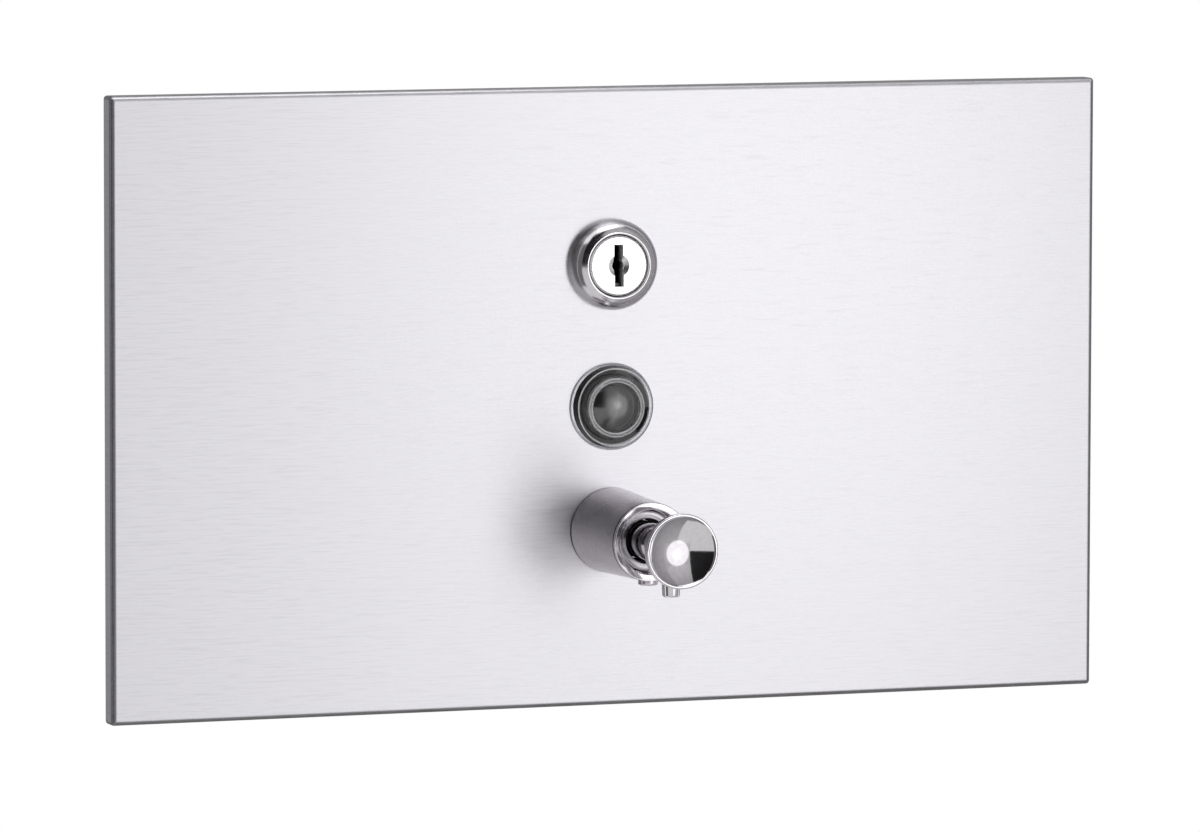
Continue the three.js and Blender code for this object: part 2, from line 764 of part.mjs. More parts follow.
// Valve barrel: tapered, with a rounded rim and a recessed mouth
function valveBarrel() {
  const mouth = -barrelLength;
  const rimOuter = barrelMouthRadius;
  const body = turned([
    [mouthBore, barrelRimRound + mouth], [mouthBore + barrelRimRound * half, mouth],
    [rimOuter - barrelRimRound, mouth], [rimOuter, mouth + barrelRimRound], [barrelBaseRadius, 0],
    [barrelBore, 0], [barrelBore, mouth + mouthRecess], [mouthBore, mouth + mouthRecess],
    [mouthBore, barrelRimRound + mouth],
  ], fineSides);
  const floor = barrelMouthRadius - barrelScrewHeadSunk - runningGap;
  const sink = rod(barrelScrewHeadRadius + runningGap, floor, barrelBaseRadius + cutOverrun);
  const shank = rod(barrelScrewRadius + runningGap, sleeveRadius - cutOverrun, barrelBaseRadius);
  const tool = downward(join(sink, shank)).translate([0, mouth + barrelScrewFromMouth, 0]);
  return cut(body, tool);
}

function barrelScrew() {
  const seat = barrelMouthRadius - barrelScrewHeadSunk;
  const head = barrelMouthRadius + barrelScrewProud;
  const bevel = barrelScrewHeadSunk;
  const screw = turned([
    [0, sleeveRadius + runningGap], [barrelScrewRadius, sleeveRadius + runningGap], [barrelScrewRadius, seat],
    [barrelScrewHeadRadius, seat], [barrelScrewHeadRadius, head - bevel],
    [barrelScrewHeadRadius - bevel, head], [0, head],
  ], smallSides);
  return downward(screw).translate([0, barrelScrewFromMouth - barrelLength, 0]);
}

// Pump cylinder: runs from the barrel's mouth through the plate into the tank, with a seat at its back
function valveCylinder() {
  const seatEnd = springSeatDepth + seatThickness;
  const stemHole = inletStemRadius + runningGap;
  const body = turned([
    [glandSeatRadius, sleeveFrontY], [sleeveRadius, sleeveFrontY], [sleeveRadius, cylinderBackY],
    [socketRadius, cylinderBackY], [socketRadius, seatEnd], [stemHole, seatEnd],
    [stemHole, springSeatDepth], [cylinderBore, springSeatDepth], [cylinderBore, glandBackY],
    [glandSeatRadius, glandBackY], [glandSeatRadius, sleeveFrontY],
  ], plainSides);
  const inlets = Array.from({ length: inletHoleCount }, (_, index) => {
    const angle = quarterTurn * (index + half);
    const hole = rod(inletHoleRadius, springSeatDepth - cutOverrun * half, seatEnd + cutOverrun * half);
    return hole.translate([inletHolePitch * Math.cos(angle), 0, inletHolePitch * Math.sin(angle)]);
  });
  return cut(body, ...inlets);
}

// Inlet valve: a rubber mushroom that lets soap in and not out
function inletValve() {
  const seatEnd = springSeatDepth + seatThickness;
  const disc = springSeatDepth - inletDiscThickness;
  return turned([
    [0, disc], [inletDiscRadius * half, disc], [inletDiscRadius, springSeatDepth],
    [inletStemRadius, springSeatDepth], [inletStemRadius, seatEnd], [inletBeadRadius, seatEnd],
    [inletStemRadius, seatEnd + inletBeadLength], [0, seatEnd + inletBeadLength],
  ], smallSides);
}

// Pickup tube: pushed into the cylinder's back, it turns down to the tank's floor
class PickupRoute extends THREE.Curve {
  constructor(start, bend, end) {
    super();
    this.start = start;
    this.bend = bend;
    this.end = end;
    this.straight = pickupStraight;
    this.arc = bend * quarterTurn;
    this.down = -bend - end;
    this.total = this.straight + this.arc + this.down;
  }

  getPoint(share, target = new THREE.Vector3()) {
    const along = share * this.total;
    const corner = this.start + this.straight;
    if (along <= this.straight) {
      return target.set(0, this.start + along, 0);
    }
    if (along >= this.straight + this.arc) {
      const drop = along - this.straight - this.arc;
      return target.set(0, corner + this.bend, -this.bend - drop);
    }
    const angle = (along - this.straight) / this.bend;
    const y = corner + this.bend * Math.sin(angle);
    return target.set(0, y, this.bend * Math.cos(angle) - this.bend);
  }
}

function pickupTube() {
  const outer = socketRadius - runningGap;
  const start = springSeatDepth + seatThickness + inletBeadLength + runningGap;
  const end = tankBottomZ + tankSheet + pickupAboveFloor - valveZ;
  const section = new THREE.Shape();
  section.absarc(0, 0, outer, 0, fullTurn, false);
  const bore = new THREE.Path();
  bore.absarc(0, 0, outer - pickupWall, 0, fullTurn, true);
  section.holes.push(bore);
  return solid(new THREE.ExtrudeGeometry(section, {
    steps: pickupSteps, curveSegments: pickupArcSteps, extrudePath: new PickupRoute(start, pickupBend, end),
  }));
}

function glandRing() {
  const inner = stemRadius + runningGap;
  const outer = glandSeatRadius - runningGap;
  return tube(inner, outer, glandFrontY, glandBackY);
}

// Knob: dished face in a thin rim, cone at the back and a collar that holds the spout
function pushKnob() {
  const face = knobFaceY;
  const rimBack = face + knobRim;
  const dishRadius = knobRadius - knobRimWidth;
  const dish = Array.from({ length: domeSteps }, (_, step) => {
    const share = step / domeSteps;
    return [dishRadius * share, face + knobDish * (1 - share * share)];
  });
  const bevel = knobRimWidth * half;
  const body = turned([
    ...dish, [dishRadius, face + bevel], [knobRadius - bevel, face], [knobRadius, face + bevel],
    [knobRadius, rimBack], [neckCollarRadius, collarFrontY], [neckCollarRadius, collarBackY], [0, collarBackY],
  ], fineSides);
  const socket = rod(spigotRadius + runningGap, collarBackY - spigotLength - runningGap, collarBackY + cutOverrun);
  const spoutHole = downward(rod(spoutTopRadius + runningGap, 0, knobRadius)).translate([0, spoutY, 0]);
  return cut(body, socket, spoutHole);
}

// Plunger: hollow stem with a stop collar, and a piston at its back
function plunger() {
  const spigotEnd = collarBackY - spigotLength;
  const collarStart = glandBackY + runningGap;
  const collarEnd = collarStart + stopCollarLength;
  const sealBack = pistonBackY - pistonBackLength;
  const sealFront = sealBack - sealLength;
  const pistonFront = sealFront - pistonFrontLength;
  const body = turned([
    [soapBoreRadius, spigotEnd], [spigotRadius, spigotEnd], [spigotRadius, collarBackY],
    [stemRadius, collarBackY], [stemRadius, collarStart], [pistonRadius, collarStart],
    [pistonRadius, collarEnd], [stemWaistRadius, collarEnd], [stemWaistRadius, pistonFront],
    [pistonRadius, pistonFront], [pistonRadius, sealFront], [sealSeatRadius, sealFront],
    [sealSeatRadius, sealBack], [pistonBackRadius, sealBack], [pistonBackRadius, pistonBackY],
    [soapBoreRadius, pistonBackY], [soapBoreRadius, spigotEnd],
  ]);
  const outlet = downward(rod(spoutBoreRadius, 0, spigotRadius + cutOverrun)).translate([0, spoutY, 0]);
  return cut(body, outlet);
}

function spoutNozzle() {
  const top = spigotRadius + runningGap * 2;
  return downward(turned([
    [spoutBoreRadius, top], [spoutTopRadius, top], [spoutEndRadius, spoutDrop], [spoutBoreRadius, spoutDrop],
    [spoutBoreRadius, top],
  ])).translate([0, spoutY, 0]);
}

function pistonSeal() {
  const sealBack = pistonBackY - pistonBackLength - runningGap * half;
  const sealFront = pistonBackY - pistonBackLength - sealLength + runningGap * half;
  return tube(sealSeatRadius + runningGap, pistonRadius, sealFront, sealBack);
}

// Return spring: one unbroken helix between the piston and the seat
function returnSpring() {
  const wire = springWire * half;
  const start = pistonBackY + runningGap + wire;
  const end = springSeatDepth - runningGap - wire;
  const steps = springCurls * springStepsPerCurl;
  const pitch = (end - start) / springCurls;
  const rings = Array.from({ length: steps + 1 }, (_, step) => {
    const angle = step / springStepsPerCurl * fullTurn;
    const along = start + pitch * step / springStepsPerCurl;
    return springRing(angle, along, wire);
  });
  console.log(`return spring: least gap between curls ${(pitch - springWire).toFixed(2)} mm`);
  return solid(wound(rings));
}

function springRing(angle, along, wire) {
  return Array.from({ length: springSides }, (_, side) => {
    const turn = side / springSides * fullTurn;
    const radius = springRadius + wire * Math.cos(turn);
    return [radius * Math.cos(angle), along + wire * Math.sin(turn), radius * Math.sin(angle)];
  });
}

function wound(rings) {
  const points = rings.flat(2);
  const faces = [];
  for (let ring = 0; ring + 1 < rings.length; ring += 1) {
    for (let side = 0; side < springSides; side += 1) {
      const next = (side + 1) % springSides;
      const a = ring * springSides + side;
      const b = ring * springSides + next;
      faces.push(a, b, a + springSides, b, b + springSides, a + springSides);
    }
  }
  const last = (rings.length - 1) * springSides;
  for (let side = 1; side + 1 < springSides; side += 1) {
    faces.push(0, side + 1, side, last, last + side, last + side + 1);
  }
  const geometry = new THREE.BufferGeometry();
  geometry.setAttribute("position", new THREE.Float32BufferAttribute(points, axisCount));
  geometry.setIndex(faces);
  return geometry;
}

// Assembly: what stays in the wall
const dispenser = new THREE.Group();
const fixed = place(dispenser, 0, 0, 0);
piece(fixed, "wall_box", wallBox(), "plainSteel");
piece(fixed, "face_frame", faceFrame(), "plainSteel");
piece(fixed, "lock_strike", lockStrike(), "plainSteel");
cornersOf(wallScrewX, wallScrewZ).forEach(([x, z], index) => {
  piece(place(fixed, x, 0, z), `wall_screw_${index + 1}`, wallScrew(), "zincSteel");
});
const fixedHinge = place(fixed, 0, hingeY, hingeZ);
piece(fixedHinge, "hinge_leaf_fixed", hingeLeaf(1, 0), "plainSteel");
piece(fixedHinge, "hinge_pin", hingePin(), "plainSteel");

// Assembly: the panel that tips on the hinge
const panel = place(dispenser, 0, 0, 0);
piece(panel, "face_plate", facePlate(), "brushedSteel");
piece(place(panel, 0, hingeY, hingeZ), "hinge_leaf_moving", hingeLeaf(-1, 1), "plainSteel");
piece(panel, "tank_body", tankBody(), "plainSteel");
piece(panel, "tank_cover", tankCover(), "plainSteel");
const stops = place(panel, 0, hingeY, hingeZ);
piece(stops, "stop_angle_left", stopAngle(-1), "plainSteel");
piece(stops, "stop_angle_right", stopAngle(1), "plainSteel");
studPlaces().forEach(([x, z], index) => {
  const spot = place(panel, x, 0, z);
  const nutFront = tankFrontY + tankSheet;
  const nutEnd = nutFront + studNutHeight;
  const tankNut = nut(studNutAcross, studRadius + runningGap, nutFront, nutEnd, smallSides);
  piece(spot, `tank_stud_${index + 1}`, tankStud(), "zincSteel");
  piece(spot, `tank_nut_${index + 1}`, tankNut, "zincSteel");
});

// Assembly: the lock
const lock = place(panel, 0, faceY, lockZ);
piece(lock, "lock_housing", lockHousing(), "chrome");
piece(lock, "lock_nut", nut(
  lockNutAcross, lockBodyRadius + runningGap, plateSheet, plateSheet + lockNutHeight,
), "zincSteel");
piece(lock, "lock_plug", lockPlug(), "chrome");
piece(lock, "lock_cam", lockCam(), "zincSteel");
piece(lock, "cam_screw", camScrew(), "zincSteel");

// Assembly: the sight glass
const glass = place(panel, 0, faceY, windowZ);
const seatY = wallStack + gasketThickness;
piece(glass, "sight_glass", sightGlass(), "clearAcrylic");
piece(glass, "window_gasket", tube(
  windowShankRadius + runningGap, windowGasketRadius, wallStack, seatY,
), "blackRubber");
piece(glass, "window_nut", nut(
  windowNutAcross, windowShankRadius + runningGap, seatY, seatY + windowNutHeight,
), "greyPlastic");

// Assembly: the push valve
const valve = place(panel, 0, faceY, valveZ);
piece(valve, "valve_barrel", valveBarrel(), "satinChrome");
piece(valve, "barrel_screw", barrelScrew(), "chrome");
piece(valve, "valve_cylinder", valveCylinder(), "brightBrass");
piece(valve, "gland_ring", glandRing(), "blackRubber");
piece(valve, "inlet_valve", inletValve(), "blackRubber");
piece(valve, "pickup_tube", pickupTube(), "greyPlastic");
piece(valve, "valve_gasket", tube(barrelBore, valveGasketRadius, wallStack, seatY), "blackRubber");
piece(valve, "valve_nut", nut(valveNutAcross, barrelBore, seatY, seatY + valveNutHeight), "brightBrass");

// Assembly: the push button, which slides in the cylinder
const button = place(valve, 0, 0, 0);
piece(button, "push_knob", pushKnob(), "chrome");
piece(button, "plunger", plunger(), "chrome");
piece(button, "spout_nozzle", spoutNozzle(), "chrome");
piece(button, "piston_seal", pistonSeal(), "blackRubber");
piece(button, "return_spring", returnSpring(), "plainSteel");

// Assembly: the tank's filler neck and cap
const filler = place(panel, 0, tankFrontY + neckFromFront, tankTopZ);
piece(filler, "filler_neck", fillerNeck(), "plainSteel");
const cap = place(filler, 0, 0, 0);
piece(cap, "filler_cap", fillerCap(), "greyPlastic");
piece(cap, "cap_gasket", capGasket(), "blackRubber");

export default dispenser;
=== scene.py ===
# Recessed soap dispenser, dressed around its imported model.
# Metres, +Z up. The wall's surface is at y = 0 and the room is on its -Y side.

import math

import bmesh
import bpy
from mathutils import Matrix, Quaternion, Vector


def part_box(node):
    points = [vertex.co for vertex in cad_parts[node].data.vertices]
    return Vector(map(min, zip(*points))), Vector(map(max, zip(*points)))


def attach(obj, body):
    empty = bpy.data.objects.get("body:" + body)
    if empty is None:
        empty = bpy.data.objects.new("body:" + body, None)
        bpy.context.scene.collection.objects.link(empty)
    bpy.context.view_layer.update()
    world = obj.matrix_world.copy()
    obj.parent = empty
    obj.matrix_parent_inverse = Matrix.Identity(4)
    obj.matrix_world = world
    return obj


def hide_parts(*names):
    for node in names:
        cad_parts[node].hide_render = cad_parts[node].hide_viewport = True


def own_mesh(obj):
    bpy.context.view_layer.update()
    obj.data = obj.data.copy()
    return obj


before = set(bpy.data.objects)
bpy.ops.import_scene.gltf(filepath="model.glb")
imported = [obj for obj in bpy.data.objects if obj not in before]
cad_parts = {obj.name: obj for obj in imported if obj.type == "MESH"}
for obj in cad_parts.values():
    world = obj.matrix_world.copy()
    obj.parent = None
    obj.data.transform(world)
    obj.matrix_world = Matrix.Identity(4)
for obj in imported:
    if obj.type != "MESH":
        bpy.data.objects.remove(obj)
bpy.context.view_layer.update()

# The camera
# It stands to the left of the dispenser and a little above its middle. It is far off, with a long lens, so
# that the plate's edges run nearly parallel, as they do in the photograph.
mm = 0.001
half = 0.5
photo_width = 1200
photo_height = 832
plate_centre_across = 611.3
plate_centre_down = 397.0
lens_in_pixels = 9020
sensor_width = 36.0
camera_distance = 2.308
camera_azimuth = math.radians(-19.67)
camera_elevation = math.radians(5.36)
camera_roll = math.radians(0.11)
clip_share = 10


def direction(azimuth, elevation):
    """The unit vector from the dispenser to a place in the room, at angles like the camera's."""
    level = math.cos(elevation)
    return Vector((math.sin(azimuth) * level, -math.cos(azimuth) * level, math.sin(elevation)))


plate_low, plate_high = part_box("face_plate")
face_y = plate_low.y
look_at = Vector((0, face_y, 0))
photo_side = direction(camera_azimuth, camera_elevation)
photo_camera = bpy.data.cameras.new("photo_camera")
photo_camera.sensor_width = sensor_width
photo_camera.lens = sensor_width * lens_in_pixels / photo_width
photo_camera.shift_x = (photo_width * half - plate_centre_across) / photo_width
photo_camera.shift_y = (plate_centre_down - photo_height * half) / photo_width
photo_camera.clip_end = camera_distance * clip_share
camera = bpy.data.objects.new("photo_camera", photo_camera)
camera.location = look_at + photo_side * camera_distance
aim = (-photo_side).to_track_quat("-Z", "Y") @ Quaternion((0, 0, 1), camera_roll)
camera.rotation_euler = aim.to_euler()
bpy.context.scene.collection.objects.link(camera)
bpy.context.scene.camera = camera
bpy.context.scene.view_settings.view_transform = "Standard"

# The room
# A white wall with the opening that the dispenser is let into, and a plain pale floor below it. The wall
# is seen from the room only, so that the box behind it can be looked at from the back and the sides.
opening_play = 0.8 * mm
wall_depth = 0.2 * mm
wall_reach = 4.0
floor_reach = 8.0
floor_level = -0.62
smooth_angle = math.radians(35)
white = (1, 1, 1, 1)
wall_white = (0.86, 0.86, 0.86, 1)
floor_pale = (0.80, 0.80, 0.79, 1)
floor_glow = 0.90


def skin(name, rows, around=True, along=False, capped=False):
    """A mesh whose faces join rows of points. A row of one point is a pole. Rows close on themselves if
    around, the last row meets the first if along, and the end rows are filled if capped."""
    shape = bmesh.new()
    made = [[shape.verts.new(point) for point in row] for row in rows]
    pairs = list(zip(made, made[1:]))
    if along:
        pairs.append((made[-1], made[0]))
    for near, far in pairs:
        count = max(len(near), len(far))
        for step in range(count if around else count - 1):
            following = step + 1
            corners = [near[step % len(near)], near[following % len(near)]]
            corners += [far[following % len(far)], far[step % len(far)]]
            corners = list(dict.fromkeys(corners))
            if len(corners) > 2:
                shape.faces.new(corners)
    if capped:
        shape.faces.new(made[0])
        shape.faces.new(made[-1])
    if along or capped or len(rows[0]) == 1:
        bmesh.ops.recalc_face_normals(shape, faces=shape.faces)
    data = bpy.data.meshes.new(name)
    shape.to_mesh(data)
    shape.free()
    data.shade_smooth()
    data.set_sharp_from_angle(angle=smooth_angle)
    made_piece = bpy.data.objects.new(name, data)
    bpy.context.scene.collection.objects.link(made_piece)
    return made_piece


def upright(left, right, low, high, y):
    """The corners of a rectangle that stands square to Y."""
    return [(left, y, low), (right, y, low), (right, y, high), (left, y, high)]


def coat(piece, *materials):
    """Gives a piece its materials, in the order of their numbers."""
    piece.data.materials.clear()
    for material in materials:
        piece.data.materials.append(material)


def bare_material(name):
    """A material with nothing in it but its output."""
    material = bpy.data.materials.new(name)
    material.use_nodes = True
    material.node_tree.nodes.clear()
    return material, material.node_tree, material.node_tree.nodes.new("ShaderNodeOutputMaterial")


def add(tree, kind, settings=None, **inputs):
    """Adds a node: settings are its own, and each input is a value, or the output that it is joined to."""
    made = tree.nodes.new(kind)
    for key, value in (settings or {}).items():
        setattr(made, key, value)
    for key, value in inputs.items():
        socket = made.inputs[int(key[1:])] if key[1:].isdigit() else made.inputs[key.replace("_", " ")]
        if isinstance(value, bpy.types.NodeSocket):
            tree.links.new(value, socket)
        else:
            socket.default_value = value
    return made


def seen_rays(tree):
    """One for the rays that look: from the camera, off gloss and through glass. Nought for the others."""
    path = add(tree, "ShaderNodeLightPath").outputs
    looks = path["Is Camera Ray"]
    for kind in ("Is Glossy Ray", "Is Transmission Ray"):
        looks = add(tree, "ShaderNodeMath", {"operation": "MAXIMUM"}, i0=looks, i1=path[kind]).outputs[0]
    return looks


def one_sided(tree, output, surface):
    """Shows a surface from its front only."""
    back = add(tree, "ShaderNodeNewGeometry").outputs["Backfacing"]
    clear = add(tree, "ShaderNodeBsdfTransparent")
    mixed = add(tree, "ShaderNodeMixShader", i0=back, i1=surface, i2=clear.outputs[0])
    tree.links.new(mixed.outputs[0], output.inputs["Surface"])


box_low, box_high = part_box("wall_box")
wall_rows = []
for wide, tall in ((wall_reach, wall_reach), (box_high.x + opening_play, box_high.z + opening_play)):
    wall_rows.append(upright(-wide, wide, max(-tall, floor_level), tall, wall_depth))
wall = skin("wall", wall_rows)
wall_paint, tree, output = bare_material("wall_paint")
plain = add(tree, "ShaderNodeBsdfDiffuse", Color=wall_white)
glow = add(tree, "ShaderNodeEmission", Color=white, Strength=1)
looked_at = add(tree, "ShaderNodeMixShader", i0=seen_rays(tree), i1=plain.outputs[0], i2=glow.outputs[0])
one_sided(tree, output, looked_at.outputs[0])
coat(wall, wall_paint)

floor = skin("floor", [
    [(-floor_reach, -floor_reach, floor_level), (floor_reach, -floor_reach, floor_level)],
    [(-floor_reach, floor_reach, floor_level), (floor_reach, floor_reach, floor_level)],
], around=False)
floor_paint, tree, output = bare_material("floor_paint")
plain = add(tree, "ShaderNodeBsdfDiffuse", Color=floor_pale)
glow = add(tree, "ShaderNodeEmission", Color=floor_pale, Strength=floor_glow)
lifted = add(tree, "ShaderNodeMixShader", i0=floor_glow, i1=plain.outputs[0], i2=glow.outputs[0])
one_sided(tree, output, lifted.outputs[0])
coat(floor, floor_paint)

# The light
# A large soft lamp with a brighter middle stands to the right of the camera, one hangs overhead and one is
# behind the wall. Flags stand round the camera and at both sides, as in a studio, and a dim card lies on the
# wall round the plate as a painted shadow, in place of the plate's shade on the wall; only gloss and glass
# show them. The flags are darker away from the first lamp.
world_level = 0.45
flag_distance = 4.6
flag_lift = 0.01
flag_steps = 6
flag_colour = (1, 0.98, 1, 1)
flag_shade = 0.50
flag_sheen = 1.20
shade_span = (0.25, 0.95)
card_inset = -1.5 * mm
card_reach = 60 * mm
card_depth = -0.1 * mm
shadow_card_strength = 0.30
# Each lamp has its azimuth and elevation in degrees, its distance, its size and its power.
lamp_aims = {
    "right_softbox": (22, -3, 1.15, 0.96, 1.50),
    "right_bulb": (22, -1, 1.14, 0.34, 0.32),
    "overhead_softbox": (10, 82, 1.25, 0.80, 2.4),
    "rear_softbox": (158, 38, 1.40, 0.90, 3.0),
}
# Each flag has the azimuths of its left and right, the elevations of its foot and top, and its strength.
flags = {
    "camera_flag": (-56, -3, -5, 60, 0.02),
    "left_flag": (-112, -56, -40, 40, 0.30),
    "right_flag": (52, 104, -20, 60, 0.38),
    "front_flag": (-3, 52, -20, 20, 0.44),
    "high_flag": (-3, 52, 20, 60, 0.50),
    "right_floor_flag": (24, 104, -88, -20, 0.38),
    "left_floor_flag": (-112, 24, -88, -64, 0.40),
}
lamp_way = direction(*[math.radians(angle) for angle in lamp_aims["right_softbox"][:2]])


def spread(tree, value, reach, span):
    """Takes a value within span to one within reach."""
    return add(
        tree, "ShaderNodeMapRange", i0=value, i1=span[0], i2=span[1], i3=reach[0], i4=reach[1],
    ).outputs[0]


def flag_cloth(name, strength, shade=1, sheen=1):
    """Cloth that gloss and glass show and the camera doesn't see. Shade multiplies its strength far away
    from the lamp, and sheen beside it."""
    cloth, tree, output = bare_material(name)
    where = add(tree, "ShaderNodeTexCoord").outputs["Object"]
    way = add(tree, "ShaderNodeVectorMath", {"operation": "NORMALIZE"}, i0=where).outputs[0]
    toward = add(tree, "ShaderNodeVectorMath", {"operation": "DOT_PRODUCT"}, i0=way, i1=lamp_way)
    graded = spread(tree, toward.outputs["Value"], (strength * shade, strength * sheen), shade_span)
    unseen = add(tree, "ShaderNodeLightPath").outputs["Is Camera Ray"]
    tone = add(tree, "ShaderNodeEmission", Color=flag_colour, Strength=graded)
    clear = add(tree, "ShaderNodeBsdfTransparent")
    mixed = add(tree, "ShaderNodeMixShader", i0=unseen, i1=tone.outputs[0], i2=clear.outputs[0])
    tree.links.new(mixed.outputs[0], output.inputs["Surface"])
    return cloth


for name, (azimuth, elevation, distance, size, power) in lamp_aims.items():
    lamp = bpy.data.lights.new(name, "AREA")
    lamp.energy = power
    lamp.shape = "DISK"
    lamp.size = size
    place = direction(math.radians(azimuth), math.radians(elevation))
    softbox = bpy.data.objects.new(name, lamp)
    softbox.location = look_at + place * distance
    softbox.rotation_euler = place.to_track_quat("Z", "Y").to_euler()
    bpy.context.scene.collection.objects.link(softbox)

for name, (left, right, low, high, strength) in flags.items():
    rows = []
    for up in range(flag_steps + 1):
        elevation = math.radians(low + (high - low) * up / flag_steps)
        row = []
        for side in range(flag_steps + 1):
            azimuth = math.radians(left + (right - left) * side / flag_steps)
            way = direction(azimuth, elevation)
            distance = flag_distance
            if way.z < 0:
                distance = min(distance, (floor_level + flag_lift) / way.z)
            row.append(look_at + way * distance)
        rows.append(row)
    flag = skin(name, rows, around=False)
    coat(flag, flag_cloth(name, strength, flag_shade, flag_sheen))

# The card is a painted shadow: a dim sheet round the plate that metal and glass mirror where the wall lies in
# the plate's shade.
card_rows = []
for reach in (card_inset, card_reach):
    wide = plate_high.x + reach
    tall = plate_high.z + reach
    card_rows.append(upright(-wide, wide, -tall, tall, card_depth))
painted_shadow_card = skin("painted_shadow_card", card_rows)
coat(painted_shadow_card, flag_cloth("painted_shadow_card", shadow_card_strength))

room = bpy.data.worlds.new("room")
room.use_nodes = True
tree = room.node_tree
tree.nodes.clear()
dim = add(tree, "ShaderNodeBackground", Color=white, Strength=world_level)
bright = add(tree, "ShaderNodeBackground", Color=white, Strength=1)
mixed = add(tree, "ShaderNodeMixShader", i0=seen_rays(tree), i1=dim.outputs[0], i2=bright.outputs[0])
output = add(tree, "ShaderNodeOutputWorld")
tree.links.new(mixed.outputs[0], output.inputs["Surface"])
bpy.context.scene.world = room

# Wall box
# A tray of galvanised sheet, folded up from one blank, with its corners closed by a run of weld. It goes
# into the opening in the wall and everything else hangs on it.
box_sheet = 1.0 * mm
box_bend = 2.2 * mm
box_corner = 1.2 * mm
bend_steps = 6
corner_steps = 3
least_bend_share = 0.1
least_corner_share = 0.2
zinc_dark = (0.36, 0.38, 0.40, 1)
zinc_light = (0.66, 0.68, 0.70, 1)
zinc_span = (0.35, 1.0)
zinc_rough = (0.32, 0.52)
zinc_relief = 0.02 * mm
spangle_size = 95
cloud_size = 30
fleck_share = 0.45
noise_span = (0.3, 0.7)
full_span = (0, 1)
much_detail = 5
some_detail = 4
little_detail = 2
least_detail = 1


def corner_ring(half_width, half_height, corner, frame_of):
    """Points round a rectangle with small round corners, put in place by frame_of(across, up)."""
    ring = []
    for turn, (side, up) in enumerate(((1, 1), (-1, 1), (-1, -1), (1, -1))):
        middle_across = side * (half_width - corner)
        middle_up = up * (half_height - corner)
        for step in range(corner_steps + 1):
            angle = (turn + step / corner_steps) * math.pi * half
            across = middle_across + corner * math.cos(angle)
            ring.append(frame_of(across, middle_up + corner * math.sin(angle)))
    return ring


def folded_tray(name, half_width, half_height, depth, sheet, bend, corner, place_of):
    """A tray folded from sheet. place_of(across, up, deep) puts a point in the row's frame; deep is nought
    at the mouth and grows towards the floor."""
    outside = [(0, 0)]
    inside = [(sheet, 0)]
    tight = max(bend - sheet, sheet * least_bend_share)
    for step in range(bend_steps + 1):
        angle = step / bend_steps * math.pi * half
        outside.append((bend * (1 - math.cos(angle)), depth - bend + bend * math.sin(angle)))
        inside.append((
            sheet + tight * (1 - math.cos(angle)), depth - sheet - tight + tight * math.sin(angle),
        ))
    rows = []
    for inset, deep in outside[::-1] + inside:
        round_corner = max(corner - inset, corner * least_corner_share)
        rows.append(corner_ring(
            half_width - inset, half_height - inset, round_corner,
            lambda across, up, deep=deep: place_of(across, up, deep),
        ))
    return skin(name, rows, capped=True)


def settle(piece, weight=100):
    """Keeps big flat faces flat beside the small round ones of their edges."""
    flat = piece.modifiers.new("flat_faces", "WEIGHTED_NORMAL")
    flat.weight = weight
    flat.keep_sharp = True


def substance(name, colour=white, metallic=1):
    """What a piece is made of: returns the material, its tree and its shader, ready for its marks."""
    material, tree, output = bare_material(name)
    shader = add(tree, "ShaderNodeBsdfPrincipled", Base_Color=colour, Metallic=metallic)
    tree.links.new(shader.outputs[0], output.inputs["Surface"])
    return material, tree, shader


def spot(tree, scale):
    """The place on a piece, in its own frame. scale is one number, or one for each of X, Y and Z."""
    where = add(tree, "ShaderNodeTexCoord").outputs["Object"]
    scales = scale if isinstance(scale, tuple) else (scale, scale, scale)
    return add(tree, "ShaderNodeMapping", {"vector_type": "POINT"}, Vector=where, Scale=scales).outputs[0]


def grain(tree, scale, detail=3, roughness=0.6, distortion=0):
    """Noise over the piece, finer where scale is larger."""
    return add(
        tree, "ShaderNodeTexNoise", Vector=spot(tree, scale), Scale=1, Detail=detail, Roughness=roughness,
        Distortion=distortion,
    ).outputs[0]


def with_share(tree, value, share, other):
    """The other value, with a share of the first one added to it."""
    return add(tree, "ShaderNodeMath", {"operation": "MULTIPLY_ADD"}, i0=value, i1=share, i2=other).outputs[0]


def roughen(tree, shader, value, reach, span=noise_span):
    """Takes a value within span to a roughness within reach."""
    tree.links.new(spread(tree, value, reach, span), shader.inputs["Roughness"])


def tint(tree, shader, value, dark, light, span=noise_span):
    """Takes a value within span to a colour between dark and light."""
    ramp = add(tree, "ShaderNodeValToRGB", i0=value)
    for element, place, colour in zip(ramp.color_ramp.elements, span, (dark, light)):
        element.position = place
        element.color = colour
    tree.links.new(ramp.outputs[0], shader.inputs["Base Color"])


def emboss(tree, shader, height, depth):
    """Raises the surface by depth where height is one."""
    bump = add(tree, "ShaderNodeBump", Height=height, Distance=depth, Strength=1)
    tree.links.new(bump.outputs[0], shader.inputs["Normal"])


galvanised, tree, shader = substance("galvanised_sheet")
cells = add(tree, "ShaderNodeTexVoronoi", Vector=spot(tree, spangle_size), Scale=1, Randomness=1)
fleck = add(tree, "ShaderNodeSeparateColor", i0=cells.outputs["Color"]).outputs[0]
mixed = with_share(tree, fleck, fleck_share, grain(tree, cloud_size, detail=much_detail))
tint(tree, shader, mixed, zinc_dark, zinc_light, zinc_span)
roughen(tree, shader, fleck, zinc_rough, full_span)
emboss(tree, shader, fleck, zinc_relief)

box_middle = (box_low + box_high) * half
tray = folded_tray(
    "folded_wall_box", box_high.x, box_high.z, box_high.y - box_low.y, box_sheet, box_bend, box_corner,
    lambda across, up, deep: (across, box_low.y + deep, box_middle.z + up),
)
coat(tray, galvanised)
settle(tray)
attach(tray, "base")
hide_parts("wall_box")

